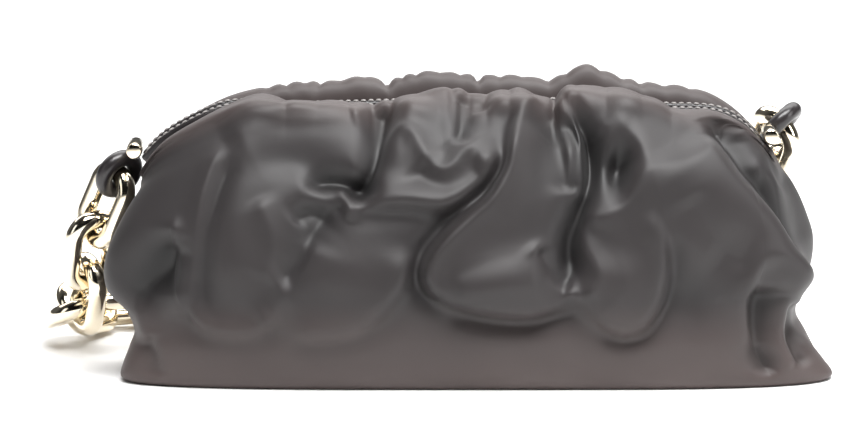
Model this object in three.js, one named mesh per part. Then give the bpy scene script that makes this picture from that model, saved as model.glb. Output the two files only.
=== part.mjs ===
// Cloud pouch bag: a soft gathered leather frame pouch with a chunky metal chain.
// Millimetres, +Z up, +X towards the bag's right end, front at -Y.
// The origin is the centre of the flat underside.
import * as THREE from "three";

// Bag, outside sizes
const bagWidth = 320; // from tip to tip of the base
const bagHeight = 131; // level that the mouth's heights are shares of
const bagDepth = 104; // front to back
const leatherWall = 2.2;
const halfWidth = bagWidth / 2;
const halfDepth = bagDepth / 2;

// Mouth and its two frame halves
const mouthGap = 8; // free width between the two frame halves
const frameThickness = 3.5;
const frameHeight = 9;
const frameRise = 1.6; // how far the frame's edge stands above the mouth line at its ends
const frameSink = 3; // how far it lies below the gathers at the middle
const frameSteps = 34;
const seatClearance = 0.4; // between pieces that touch on the real bag

// Hinge pins and strap loops
const pinRadius = 3.6;
const pinSides = 14;
const pinStubLeft = 11; // how far back each pin reaches from the middle of the mouth
const pinStubRight = 13;
const loopTubeRadius = 3.8;
const loopTubeSides = 6;
const loopSides = 16;
const loopTurn = THREE.MathUtils.degToRad(17); // most that a link's bar stands askew in the loop

// Chain
const linkLength = 42;
const linkWidth = 28;
const linkBar = 8.5; // wire diameter
const linkCorner = 9; // radius of the wire's middle line at a corner
const linkWireSides = 6;
const linkCornerSteps = 3;
const linkSlack = 0.55; // play between two taut links
const pullRounds = 6; // rounds of fitting a link's near end to the last link
const routeStep = 0.0005; // share of the route that the search for a link's far end goes by
const wireSamples = 5; // places on each stretch of a link's wire that its gap is measured from
const chainTries = 16; // chains that are tried side by side
const lackCost = 1000; // weight of each millimetre of room that a link lacks, against degrees of roll
const turnCost = 4000; // weight of the last link's turn in its loop
const facetGive = 0.6; // room that the wire's facets give two links beside round wire
const endAskew = 0.2; // share of its length that the last link's bar may stand askew to the loop
const loopRadius = (linkBar / 2 + loopTubeRadius + seatClearance) / Math.cos(loopTurn);
const loopReach = loopRadius + loopTubeRadius + seatClearance; // least, from a pin's end to a link's bar

// Grid of the leather shell
const frontColumns = 44;
const endColumns = 9;
const backColumns = 30;

// Upright sections of the leather. rise is a share of the mouth's height there, left and right are
// shares of half the width, front and back are shares of half the depth, square is the exponent of
// the rounded plan: 2 is an ellipse, more is boxier.
const sections = [
  { rise: 0.0, left: 0.972, right: 0.972, front: 0.88, back: 0.94, square: 4.2 },
  { rise: 0.025, left: 0.984, right: 0.984, front: 0.92, back: 0.97, square: 4.2 },
  { rise: 0.08, left: 0.98, right: 0.968, front: 0.94, back: 1.0, square: 4.0 },
  { rise: 0.16, left: 0.968, right: 0.945, front: 0.955, back: 1.02, square: 3.8 },
  { rise: 0.24, left: 0.958, right: 0.922, front: 0.965, back: 1.035, square: 3.6 },
  { rise: 0.32, left: 0.985, right: 0.935, front: 0.97, back: 1.04, square: 3.4 },
  { rise: 0.41, left: 1.045, right: 0.968, front: 0.965, back: 1.035, square: 3.2 },
  { rise: 0.5, left: 1.07, right: 0.992, front: 0.945, back: 1.01, square: 3.0 },
  { rise: 0.59, left: 1.072, right: 1.0, front: 0.91, back: 0.97, square: 2.9 },
  { rise: 0.67, left: 1.06, right: 0.99, front: 0.86, back: 0.91, square: 2.8 },
  { rise: 0.75, left: 1.04, right: 0.972, front: 0.785, back: 0.83, square: 2.7 },
  { rise: 0.82, left: 1.015, right: 0.945, front: 0.69, back: 0.73, square: 2.7 },
  { rise: 0.88, left: 0.99, right: 0.91, front: 0.58, back: 0.62, square: 2.7 },
  { rise: 0.93, left: 0.98, right: 0.888, front: 0.46, back: 0.5, square: 2.8 },
  { rise: 0.97, left: 0.97, right: 0.868, front: 0.345, back: 0.375, square: 4.0 },
  { rise: 0.995, left: 0.963, right: 0.85, front: 0.245, back: 0.26, square: 10.0 },
  { rise: 1.0, left: 0.958, right: 0.84, front: 0.19, back: 0.195, square: 14.0 },
];

// Mouth line from hinge to hinge: along is a share of half the width, height of the bag's height,
// and front and back say how far the gathers stand above it, as shares of the gathers' height.
const gatherHeight = 10;
const mouthLine = [
  { along: -0.96, height: 0.7, front: 0.0, back: 0.0 },
  { along: -0.925, height: 0.752, front: 0.0, back: 0.0 },
  { along: -0.87, height: 0.818, front: 0.0, back: 0.0 },
  { along: -0.78, height: 0.882, front: 0.02, back: 0.05 },
  { along: -0.69, height: 0.928, front: 0.16, back: 0.16 },
  { along: -0.6, height: 0.948, front: 0.43, back: 0.3 },
  { along: -0.51, height: 0.951, front: 0.12, back: 0.52 },
  { along: -0.4, height: 0.955, front: 0.06, back: 0.54 },
  { along: -0.31, height: 0.958, front: -0.05, back: 0.72 },
  { along: -0.25, height: 0.96, front: 0.0, back: 0.52 },
  { along: -0.16, height: 0.962, front: 0.3, back: 0.86 },
  { along: -0.06, height: 0.964, front: 0.56, back: 0.8 },
  { along: 0.01, height: 0.965, front: 0.22, back: 0.66 },
  { along: 0.12, height: 0.965, front: 0.5, back: 0.66 },
  { along: 0.21, height: 0.965, front: 0.06, back: 0.5 },
  { along: 0.26, height: 0.965, front: 0.6, back: 0.8 },
  { along: 0.32, height: 0.964, front: 0.6, back: 1.15 },
  { along: 0.41, height: 0.96, front: 0.54, back: 0.66 },
  { along: 0.5, height: 0.952, front: 0.2, back: 0.48 },
  { along: 0.57, height: 0.942, front: -0.16, back: 0.5 },
  { along: 0.65, height: 0.922, front: 0.05, back: 0.45 },
  { along: 0.71, height: 0.895, front: 0.1, back: 0.25 },
  { along: 0.76, height: 0.855, front: 0.05, back: 0.06 },
  { along: 0.8, height: 0.805, front: 0.0, back: 0.0 },
  { along: 0.84, height: 0.757, front: 0.0, back: 0.0 },
];

// Ends of the bag: the tuck that folds each end in, and the ear at each bottom corner.
// Across and the tuck's width are shares of half the depth, middle and tall of the bag's height.
const tuckDepth = 13;
const earReach = 4.5;
const endForms = [
  { tuckAcross: 0.12, tuckWidth: 0.42, tuckMiddle: 0.5, tuckTall: 0.26, earAcross: -0.62, earTall: 0.12 },
  { tuckAcross: -0.12, tuckWidth: 0.42, tuckMiddle: 0.5, tuckTall: 0.26, earAcross: -0.36, earTall: 0.12 },
];
const earWidth = 0.3;

// Sheets that the folds are laid out on. The front one leans back by its tilt.
// A fold's places are shares: across of half the width, up of the sheet's height above its foot.
const frontSheet = { tilt: THREE.MathUtils.degToRad(10.5), foot: -0.065, height: 1.029 };
const backSheet = { tilt: 0, foot: 0, height: 1.0 };
const foldRise = 8; // rise and drop of a fold are shares of this
const foldWidth = 7; // width and reach of a fold are shares of this
const foldTaper = 0.18; // share of a fold's length over which each end dies out
const foldFreeLevel = 0.07; // the folds die out below this share of the bag's height

// Folds of the front. rise lifts or dents the leather along the line. drop lifts the sheet on the
// line's left-hand side above the other side, and dies out over the reach.
const frontFolds = [
  { rise: 0.4, drop: -0.25, width: 1.2, reach: 2.4, line: [[-0.716, 0.763], [-0.758, 0.633], [-0.781, 0.5], [-0.792, 0.247], [-0.75, 0.21]] },
  { rise: 0.25, drop: 0, width: 1.1, reach: 1, line: [[-0.83, 0.6], [-0.826, 0.44], [-0.826, 0.223]] },
  { rise: 0.25, drop: 0, width: 1.6, reach: 1, line: [[-0.7, 0.83], [-0.621, 0.87], [-0.461, 0.883], [-0.298, 0.917]] },
  { rise: -0.65, drop: 0, width: 0.9, reach: 1, line: [[-0.261, 0.99], [-0.267, 0.867], [-0.287, 0.75], [-0.404, 0.703], [-0.48, 0.66]] },
  { rise: 0.45, drop: 0, width: 0.8, reach: 1, line: [[-0.225, 0.98], [-0.244, 0.847], [-0.278, 0.617]] },
  { rise: -0.3, drop: 0, width: 1.0, reach: 1, line: [[-0.49, 0.59], [-0.298, 0.603]] },
  { rise: -0.6, drop: 0, width: 0.8, reach: 1, line: [[-0.037, 1.0], [-0.034, 0.867], [-0.053, 0.79]] },
  { rise: 0.45, drop: 0.3, width: 0.8, reach: 1.8, line: [[-0.244, 0.85], [-0.194, 0.863], [-0.149, 0.823], [-0.093, 0.735], [-0.059, 0.747], [-0.003, 0.823], [0.034, 0.857]] },
  { rise: 0.45, drop: -0.4, width: 1.0, reach: 2.2, line: [[-0.003, 0.863], [0.062, 0.85], [0.07, 0.77], [0.053, 0.69], [-0.003, 0.647], [-0.067, 0.607], [-0.171, 0.597], [-0.264, 0.607]] },
  { rise: 0.5, drop: -0.5, width: 1.0, reach: 2.4, line: [[0.205, 0.99], [0.177, 0.963], [0.138, 0.907], [0.11, 0.833], [0.098, 0.757], [0.081, 0.703], [0.034, 0.637], [-0.031, 0.587]] },
  { rise: 0.3, drop: 0.75, width: 0.9, reach: 3.2, line: [[-0.031, 0.587], [-0.079, 0.507], [-0.143, 0.4], [-0.124, 0.337], [-0.053, 0.287], [0.062, 0.26], [0.154, 0.253], [0.295, 0.273]] },
  { rise: 0.35, drop: 0, width: 1.0, reach: 1, line: [[-0.065, 0.35], [0.034, 0.363], [0.132, 0.383], [0.169, 0.493]] },
  { rise: 0.4, drop: 0, width: 0.8, reach: 1, line: [[0.202, 0.39], [0.247, 0.347], [0.303, 0.323], [0.35, 0.37]] },
  { rise: -0.6, drop: 0, width: 0.8, reach: 1, line: [[0.185, 0.47], [0.245, 0.36]] },
  { rise: 0.6, drop: 0, width: 0.8, reach: 1, line: [[0.242, 1.01], [0.272, 0.867], [0.272, 0.68]] },
  { rise: -0.6, drop: 0, width: 0.8, reach: 1, line: [[0.21, 0.95], [0.235, 0.84], [0.25, 0.7]] },
  { rise: -0.95, drop: 0, width: 0.9, reach: 1, line: [[0.303, 0.95], [0.31, 0.85], [0.337, 0.757], [0.309, 0.613], [0.281, 0.5], [0.287, 0.4], [0.309, 0.35]] },
  { rise: 0.45, drop: 0, width: 1.1, reach: 1, line: [[0.343, 0.963], [0.402, 0.94], [0.449, 0.833], [0.483, 0.74], [0.449, 0.633], [0.382, 0.587], [0.317, 0.547]] },
  { rise: -0.4, drop: 0, width: 1.3, reach: 1, line: [[0.4, 0.85], [0.43, 0.68]] },
  { rise: 0.3, drop: 0.75, width: 0.9, reach: 3.2, line: [[0.301, 0.29], [0.351, 0.23], [0.424, 0.203], [0.489, 0.22], [0.534, 0.277], [0.553, 0.357], [0.542, 0.497], [0.531, 0.567]] },
  { rise: 0.35, drop: 0, width: 1.6, reach: 1, line: [[-0.163, 0.46], [-0.191, 0.35], [-0.264, 0.247], [-0.404, 0.197]] },
  { rise: 0.35, drop: 0, width: 1.1, reach: 1, line: [[-0.43, 0.56], [-0.461, 0.503], [-0.514, 0.377], [-0.551, 0.287], [-0.593, 0.21], [-0.716, 0.197]] },
  { rise: 0.4, drop: 0, width: 1.4, reach: 1, line: [[0.542, 0.567], [0.587, 0.497], [0.677, 0.43], [0.73, 0.383]] },
  { rise: -0.45, drop: 0, width: 1.0, reach: 1, line: [[0.694, 0.487], [0.744, 0.41], [0.809, 0.46], [0.854, 0.467]] },
  { rise: 0.4, drop: 0, width: 0.9, reach: 1, line: [[0.792, 0.383], [0.82, 0.43], [0.854, 0.44], [0.893, 0.413], [0.913, 0.367]] },
  { rise: -0.7, drop: 0, width: 0.9, reach: 1, line: [[0.809, 0.36], [0.792, 0.197], [0.809, 0.103], [0.854, 0.057]] },
  { rise: 0.5, drop: 0, width: 0.9, reach: 1, line: [[0.874, 0.32], [0.862, 0.197], [0.882, 0.12], [0.913, 0.06]] },
  { rise: 0.35, drop: 0, width: 0.9, reach: 1, line: [[-0.938, 0.28], [-0.896, 0.133], [-0.874, 0.043]] },
  { rise: 0.6, drop: 0, width: 1.1, reach: 1, line: [[0.62, 0.87], [0.691, 0.78], [0.767, 0.673], [0.834, 0.587], [0.888, 0.5], [0.944, 0.36]] },
  { rise: -1.1, drop: 0, width: 1.1, reach: 1, line: [[0.652, 0.92], [0.699, 0.825], [0.753, 0.745], [0.806, 0.68], [0.862, 0.6], [0.93, 0.5]] },
];

// Folds of the back: gathers that fan out below the mouth, and the slack that sags under them
const backFolds = [
  { rise: -0.7, drop: 0, width: 1.0, reach: 1, line: [[-0.3, 1.02], [-0.32, 0.85], [-0.38, 0.6]] },
  { rise: 0.5, drop: 0, width: 1.2, reach: 1, line: [[-0.2, 1.0], [-0.22, 0.8], [-0.28, 0.45]] },
  { rise: -0.7, drop: 0, width: 1.0, reach: 1, line: [[-0.1, 1.02], [-0.09, 0.85], [-0.12, 0.6]] },
  { rise: -0.8, drop: 0, width: 1.0, reach: 1, line: [[0.2, 1.02], [0.18, 0.8], [0.24, 0.5], [0.22, 0.3]] },
  { rise: 0.6, drop: 0, width: 1.2, reach: 1, line: [[0.3, 1.05], [0.29, 0.8], [0.36, 0.5]] },
  { rise: -0.7, drop: 0, width: 1.0, reach: 1, line: [[0.44, 1.0], [0.42, 0.8], [0.5, 0.55], [0.5, 0.35]] },
  { rise: 0.4, drop: -0.6, width: 1.0, reach: 3.0, line: [[-0.75, 0.8], [-0.7, 0.5], [-0.55, 0.28], [-0.3, 0.22]] },
  { rise: 0.4, drop: 0.6, width: 1.0, reach: 3.0, line: [[-0.18, 0.25], [0.05, 0.2], [0.2, 0.28], [0.3, 0.45]] },
  { rise: 0.4, drop: 0.5, width: 1.1, reach: 2.6, line: [[0.4, 0.2], [0.6, 0.22], [0.72, 0.4], [0.74, 0.62]] },
  { rise: 0.45, drop: 0, width: 1.4, reach: 1, line: [[-0.6, 0.9], [-0.5, 0.7], [-0.48, 0.45]] },
  { rise: -0.5, drop: 0, width: 1.1, reach: 1, line: [[-0.5, 0.98], [-0.42, 0.75]] },
  { rise: 0.4, drop: 0, width: 1.2, reach: 1, line: [[0.05, 0.95], [0.06, 0.7], [0.0, 0.45]] },
  { rise: 0.4, drop: 0, width: 1.2, reach: 1, line: [[0.6, 0.92], [0.62, 0.7], [0.68, 0.5]] },
];

// Route of the chain, chosen by hand: from the left loop down beside the bag, along the table
// behind it, and up behind the right end to the other loop. across is a share of half the width,
// deep of half the depth and high of the height of that side's hinge pin. out, back and lie are
// shares of a link's width.
const chainRoute = [
  { across: -1, out: 0.000, deep: 0, back: 0.429, high: 1, lie: -0.483 },
  { across: -1, out: -0.268, deep: 0, back: 0.571, high: 1, lie: -1.055 },
  { across: -1, out: -0.536, deep: 0, back: 0.821, high: 0.8, lie: -1.151 },
  { across: -1, out: -0.571, deep: 0.3, back: 0.586, high: 0.4, lie: -0.450 },
  { across: -1, out: -0.714, deep: 0.6, back: 0.457, high: 0, lie: 0.446 },
  { across: -1, out: -0.964, deep: 0.9, back: 0.364, high: 0, lie: 0.357 },
  { across: -1, out: -1.000, deep: 1, back: 0.714, high: 0, lie: 0.464 },
  { across: -1, out: -0.607, deep: 1, back: 1.214, high: 0, lie: 0.482 },
  { across: -1, out: 0.143, deep: 1, back: 1.429, high: 0, lie: 0.411 },
  { across: -0.8, out: -0.071, deep: 1, back: 1.429, high: 0, lie: 0.404 },
  { across: -0.55, out: -0.071, deep: 1, back: 1.321, high: 0, lie: 0.404 },
  { across: -0.2, out: 0.071, deep: 1, back: 1.179, high: 0, lie: 0.404 },
  { across: 0.25, out: 0.000, deep: 1, back: 1.107, high: 0, lie: 0.404 },
  { across: 0.5, out: 0.000, deep: 1, back: 1.071, high: 0, lie: 0.407 },
  { across: 0.84, out: -1.157, deep: 1, back: 1.000, high: 0, lie: 0.536 },
  { across: 0.84, out: -0.693, deep: 1, back: 0.929, high: 0.25, lie: 0.073 },
  { across: 0.84, out: -0.407, deep: 1, back: 0.786, high: 0.55, lie: -0.405 },
  { across: 0.84, out: -0.157, deep: 0.8, back: 0.836, high: 0.85, lie: -0.775 },
  { across: 0.84, out: 0.021, deep: 0, back: 1.786, high: 1, lie: -0.638 },
  { across: 0.84, out: 0.129, deep: 0, back: 1.250, high: 1, lie: -0.174 },
  { across: 0.84, out: 0.207, deep: 0, back: 0.857, high: 1, lie: 0.169 },
];
// Roll of each link about its length, degrees, beside the quarter turn from link to link, and the
// changes that are tried on it
const linkRolls = [-10, 0, -10, -50, 75, 20, 0, 0, 0, 0, 0, 0, 0, 15, 0, 15, 15, 15, 15, 15, 45];
const rollChanges = [0, 15, -15, 30, -30, 45, -45, 60, -60, 75, -75, 90];
const rollReference = new THREE.Vector3(-0.5, -0.6, 0.62).normalize();

// Leather and metal
const leather = { color: 0x3c3638, roughness: 0.42, metalness: 0 };
const edgeLeather = { color: 0x2b2628, roughness: 0.38, metalness: 0 };
const paleGold = { color: 0xe2d3b4, roughness: 0.16, metalness: 1 };

// Smooth curve through a table's rows, read at one value of its key column
function readTable(rows, key, column, at) {
  const last = rows.length - 1;
  if (at <= rows[0][key]) return rows[0][column];
  if (at >= rows[last][key]) return rows[last][column];
  let i = 0;
  while (rows[i + 1][key] < at) i += 1;
  const slope = (a, b) => (rows[b][column] - rows[a][column]) / (rows[b][key] - rows[a][key]);
  const step = rows[i + 1][key] - rows[i][key];
  const share = (at - rows[i][key]) / step;
  const start = slope(Math.max(i - 1, 0), i + 1) * step;
  const end = slope(i, Math.min(i + 2, last)) * step;
  const rise = rows[i + 1][column] - rows[i][column];
  const square = share * share;
  return rows[i][column] + start * share + (3 * rise - 2 * start - end) * square
    + (start + end - 2 * rise) * square * share;
}

const smoothStep = (low, high, value) => THREE.MathUtils.smoothstep(value, low, high);
const bell = (value) => Math.exp(-value * value);

// Mouth line, and the top edge of the gathers on one face of the bag
const mouthLevel = (along) => bagHeight * readTable(mouthLine, "along", "height", along);
const gatherLevel = (along, face) => mouthLevel(along)
  + gatherHeight * readTable(mouthLine, "along", face, along);

// Columns go once round the bag: 0 to 1 is the front from left to right, 1 to 2 the right end,
// 2 to 3 the back and 3 to 4 the left end.
function planDirection(round) {
  const side = Math.floor(round) % 4;
  const turn = 2 * (round - Math.floor(round)) - 1;
  const across = [turn, 1, -turn, -1][side];
  const along = [-1, turn, 1, -turn][side];
  return { across, along };
}

// A point of the leather before its folds
function smoothPoint(round, rise) {
  const read = (column) => readTable(sections, "rise", column, rise);
  const { across, along } = planDirection(round);
  const square = read("square");
  const reach = (Math.abs(across) ** square + Math.abs(along) ** square) ** (-1 / square);
  const lip = sections[sections.length - 1];
  const half = halfWidth * (across < 0 ? read("left") : read("right"));
  const x = across * reach * half;
  const y = along * reach * halfDepth * (along < 0 ? read("front") : read("back"));
  const mouthHalf = across < 0 ? lip.left : lip.right;
  const faceShare = smoothStep(-0.5, 0.5, along * reach);
  const edge = THREE.MathUtils.lerp(
    gatherLevel(across * reach * mouthHalf, "front"),
    gatherLevel(across * reach * mouthHalf, "back"),
    faceShare,
  );
  return new THREE.Vector3(x, y, edge * rise);
}

// The same point with the tucked ends and the ears
function basePoint(round, rise) {
  const point = smoothPoint(round, rise);
  const form = endForms[point.x < 0 ? 0 : 1];
  const outward = Math.sign(point.x);
  const endShare = smoothStep(0.72, 0.97, Math.abs(point.x) / halfWidth);
  const level = point.z / bagHeight;
  const across = point.y / halfDepth;
  const tuck = bell((across - form.tuckAcross) / form.tuckWidth)
    * bell((level - form.tuckMiddle) / form.tuckTall);
  const ear = bell((across - form.earAcross) / earWidth) * bell(level / form.earTall);
  point.x += outward * endShare * (earReach * ear - tuckDepth * tuck);
  return point;
}

// Which way the leather faces before its folds
function baseNormal(round, rise) {
  const step = 0.004;
  const low = Math.max(rise - step, 0);
  const high = Math.min(rise + step, 1);
  const alongRound = basePoint(round + step, rise).sub(basePoint((round + 4 - step) % 4, rise));
  const upward = basePoint(round, high).sub(basePoint(round, low));
  return alongRound.cross(upward).normalize();
}

// Distance from a place on the sheet to a fold's line, with the side it is on and how far along
function measureLine(x, z, line) {
  let best = { distance: Infinity, side: 1, share: 0 };
  const lengths = line.slice(1).map((end, i) => Math.hypot(end[0] - line[i][0], end[1] - line[i][1]));
  const total = lengths.reduce((sum, length) => sum + length, 0);
  let passed = 0;
  lengths.forEach((length, i) => {
    const [ax, az] = line[i];
    const dx = (line[i + 1][0] - ax) / length;
    const dz = (line[i + 1][1] - az) / length;
    const along = THREE.MathUtils.clamp((x - ax) * dx + (z - az) * dz, 0, length);
    const distance = Math.hypot(x - ax - along * dx, z - az - along * dz);
    if (distance < best.distance) {
      const side = Math.sign(dx * (z - az) - dz * (x - ax)) || 1;
      best = { distance, side, share: (passed + along) / total };
    }
    passed += length;
  });
  return best;
}

// Places of a fold's line in millimetres, on a smooth curve through its table points
function layLine(fold, sheet) {
  const places = fold.line.map(([across, up]) => new THREE.Vector2(
    across * halfWidth,
    (sheet.foot + up * sheet.height) * bagHeight,
  ));
  const curve = new THREE.SplineCurve(places);
  return curve.getPoints(4 * (places.length - 1)).map((place) => [place.x, place.y]);
}

const layFolds = (folds, sheet) => folds.map((fold) => ({ ...fold, laid: layLine(fold, sheet) }));
const laidFront = layFolds(frontFolds, frontSheet);
const laidBack = layFolds(backFolds, backSheet);

// How far all the folds of one face lift the leather at a point
function foldLift(point, folds, sheet) {
  const up = point.z * Math.cos(sheet.tilt) + point.y * Math.sin(sheet.tilt);
  let lift = 0;
  for (const fold of folds) {
    const { distance, side, share } = measureLine(point.x, up, fold.laid);
    const width = fold.width * foldWidth;
    const taper = smoothStep(0, foldTaper, share) * smoothStep(0, foldTaper, 1 - share);
    const ridge = fold.rise * bell(distance / width);
    const ledge = 0.5 * fold.drop * Math.tanh((side * distance) / width)
      * bell(distance / (fold.reach * foldWidth));
    lift += foldRise * taper * (ridge + ledge);
  }
  return lift;
}

// A finished point of the leather, outside at depth 0 and inside at the wall's depth
function leatherPoint(round, rise, depth) {
  const point = basePoint(round, rise);
  const normal = baseNormal(round, rise);
  const { along } = planDirection(round);
  const front = smoothStep(-0.1, 0.7, -along);
  const back = smoothStep(-0.1, 0.7, along);
  const steady = smoothStep(0.02, foldFreeLevel, point.z / bagHeight) * (1 - smoothStep(0.97, 1, rise));
  const lift = front * foldLift(point, laidFront, frontSheet) + back * foldLift(point, laidBack, backSheet);
  point.addScaledVector(normal, steady * lift);
  if (depth > 0) {
    const floor = point.z;
    point.addScaledVector(normal, -depth);
    if (rise < 0.1) point.z = Math.max(point.z, Math.min(floor, depth));
  }
  return point;
}

// Closed surface through rings of points: the last ring joins the first one, or both get a cap
function skin(rings, closed) {
  const count = rings[0].length;
  const positions = rings.flatMap((ring) => ring.flatMap((point) => [point.x, point.y, point.z]));
  const index = [];
  const spans = closed ? rings.length : rings.length - 1;
  for (let i = 0; i < spans; i += 1) {
    const here = i * count;
    const next = ((i + 1) % rings.length) * count;
    for (let j = 0; j < count; j += 1) {
      const right = (j + 1) % count;
      index.push(here + j, here + right, next + right, here + j, next + right, next + j);
    }
  }
  const cap = (ring, start, flip) => {
    const middle = ring.reduce((sum, point) => sum.add(point), new THREE.Vector3()).divideScalar(count);
    const centre = positions.length / 3;
    positions.push(middle.x, middle.y, middle.z);
    for (let j = 0; j < count; j += 1) {
      const right = start + ((j + 1) % count);
      index.push(centre, flip ? right : start + j, flip ? start + j : right);
    }
  };
  if (!closed) {
    cap(rings[0], 0, true);
    cap(rings[rings.length - 1], (rings.length - 1) * count, false);
  }
  const geometry = new THREE.BufferGeometry();
  geometry.setAttribute("position", new THREE.Float32BufferAttribute(positions, 3));
  geometry.setIndex(index);
  geometry.computeVertexNormals();
  return geometry;
}

// Columns of the leather's grid, closer together on the front
function roundPlaces() {
  const counts = [frontColumns, endColumns, backColumns, endColumns];
  return counts.flatMap((count, side) => Array.from({ length: count }, (unused, i) => side + i / count));
}

// Leather shell: up the outside, over the lip and down the inside
function leatherShell() {
  const places = roundPlaces();
  const rises = sections.map((row) => row.rise);
  const outside = rises.map((rise) => places.map((round) => leatherPoint(round, rise, 0)));
  const inside = rises.slice(1).reverse()
    .map((rise) => places.map((round) => leatherPoint(round, rise, leatherWall)));
  const floor = places.map((round) => {
    const point = leatherPoint(round, sections[1].rise, leatherWall);
    return new THREE.Vector3(point.x * 0.985, point.y * 0.97, leatherWall);
  });
  return skin([...outside, ...inside, floor], false);
}

// Points along the mouth for a frame half
function framePath() {
  const startAlong = mouthLine[0].along + 2 * leatherWall / halfWidth;
  const endAlong = mouthLine[mouthLine.length - 1].along - 2 * leatherWall / halfWidth;
  return Array.from({ length: frameSteps + 1 }, (unused, i) => {
    const along = THREE.MathUtils.lerp(startAlong, endAlong, i / frameSteps);
    const middle = 1 - smoothStep(0.5, 0.75, Math.abs(along));
    const top = mouthLevel(along) + THREE.MathUtils.lerp(frameRise, -frameSink, middle);
    return new THREE.Vector3(along * halfWidth, 0, top);
  });
}

// Frame half: a leather-covered bar that follows the mouth, on the front or the back
function frameHalf(face) {
  const path = framePath();
  const near = face * (mouthGap / 2);
  const far = face * (mouthGap / 2 + frameThickness);
  const rings = path.map((place, i) => {
    const before = path[Math.max(i - 1, 0)];
    const after = path[Math.min(i + 1, path.length - 1)];
    const along = after.clone().sub(before).normalize();
    const down = new THREE.Vector3(along.z, 0, -along.x).multiplyScalar(frameHeight);
    const low = place.clone().add(down);
    const corner = (base, y) => new THREE.Vector3(base.x, y, base.z);
    const ring = [corner(place, near), corner(place, far), corner(low, far), corner(low, near)];
    return face < 0 ? ring : ring.reverse();
  });
  return skin(rings, false);
}

// Ring of round wire along a closed flat path. The path lies in the X-Y plane.
function wireRing(path, wireRadius, sides) {
  const rings = path.map(({ place, outward }) => Array.from({ length: sides }, (unused, i) => {
    const angle = (2 * Math.PI * (i + 0.5)) / sides;
    return new THREE.Vector3(
      place.x + outward.x * wireRadius * Math.cos(angle),
      place.y + outward.y * wireRadius * Math.cos(angle),
      -wireRadius * Math.sin(angle),
    );
  }));
  return skin(rings, true);
}

// Middle line of a link's wire: a rectangle with round corners, long along X
function linkPath() {
  const straightX = linkLength / 2 - linkBar / 2 - linkCorner;
  const straightY = linkWidth / 2 - linkBar / 2 - linkCorner;
  const corners = [[1, 1, 0], [-1, 1, 90], [-1, -1, 180], [1, -1, 270]];
  return corners.flatMap(([sideX, sideY, start]) => Array.from({ length: linkCornerSteps }, (unused, i) => {
    const angle = THREE.MathUtils.degToRad(start + (90 * i) / (linkCornerSteps - 1));
    const outward = new THREE.Vector2(Math.cos(angle), Math.sin(angle));
    const place = new THREE.Vector2(sideX * straightX, sideY * straightY).addScaledVector(outward, linkCorner);
    return { place, outward };
  }));
}

// Middle line of a strap loop: two half circles joined by straights along X
function loopPath(straight) {
  return Array.from({ length: loopSides }, (unused, i) => {
    const angle = (2 * Math.PI * (i + 0.5)) / loopSides;
    const outward = new THREE.Vector2(Math.cos(angle), Math.sin(angle));
    const place = outward.clone().multiplyScalar(loopRadius);
    place.x += Math.sign(outward.x) * straight / 2;
    return { place, outward };
  });
}

// First place further along the route that lies a given distance from a point
function reachAhead(route, from, share, distance) {
  let at = share;
  while (at < 1 && route.getPointAt(at).distanceTo(from) < distance) at += routeStep;
  return Math.min(at, 1);
}

// Middle line of the chain in space, from the table's shares
function routeCurve(leftSeat, rightSeat) {
  const places = chainRoute.map((row) => new THREE.Vector3(
    row.across * halfWidth + row.out * linkWidth,
    row.deep * halfDepth + row.back * linkWidth,
    row.high * (row.across < 0 ? leftSeat : rightSeat).z + row.lie * linkWidth,
  ));
  const route = new THREE.CatmullRomCurve3(places);
  route.arcLengthDivisions = 1000;
  return route;
}

// One link of the chain, with its near end at a point and its far end further along the route
function layLink(route, near, share, roll) {
  const span = linkLength - linkBar;
  const ahead = reachAhead(route, near, share, span);
  const axis = route.getPointAt(ahead).sub(near).normalize();
  const side = axis.clone().cross(rollReference).normalize();
  side.applyAxisAngle(axis, THREE.MathUtils.degToRad(roll));
  const far = near.clone().addScaledVector(axis, span);
  const centre = near.clone().add(far).multiplyScalar(0.5);
  return { centre, axis, side, near, far, share: ahead };
}

// Link that follows the last one. The crossed end bars of the two lie a bar and the slack apart.
function nextLink(route, last, roll) {
  let apart = last.axis;
  let next = last;
  for (let round = 0; round < pullRounds; round += 1) {
    const near = last.far.clone().addScaledVector(apart, -linkBar - linkSlack);
    next = layLink(route, near, last.share, roll);
    apart = last.side.clone().cross(next.side).normalize();
    if (apart.dot(last.axis) < 0) apart.negate();
  }
  return next;
}

// Places along the middle of a link's wire, in space
function wirePlaces({ centre, axis, side }) {
  const corners = linkPath().map(({ place }) => place);
  return corners.flatMap((corner, i) => Array.from({ length: wireSamples }, (unused, k) => {
    const flat = corner.clone().lerp(corners[(i + 1) % corners.length], k / wireSamples);
    return centre.clone().addScaledVector(axis, flat.x).addScaledVector(side, flat.y);
  }));
}

// Room that a link leaves: the smaller of its gap to the last link and its height above the floor
function linkRoom(link, last) {
  const wire = wirePlaces(link);
  const lastWire = wirePlaces(last);
  const nearest = Math.min(...wire.map((place) => Math.min(...lastWire.map((other) => place.distanceTo(other)))));
  const lowest = Math.min(...wire.map((place) => place.z));
  const under = (linkBar / 2) * Math.cos(Math.PI / linkWireSides);
  return Math.min(nearest - linkBar, lowest - under);
}

// Cost of a link whose bar would stand askew in the loop, where the link could be the last one
function endCost(link, seat) {
  const reach = seat.clone().sub(link.far);
  if (reach.length() > loopReach + linkLength) return 0;
  return turnCost * Math.max(Math.abs(link.side.dot(reach.normalize())) - endAskew, 0);
}

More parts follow.
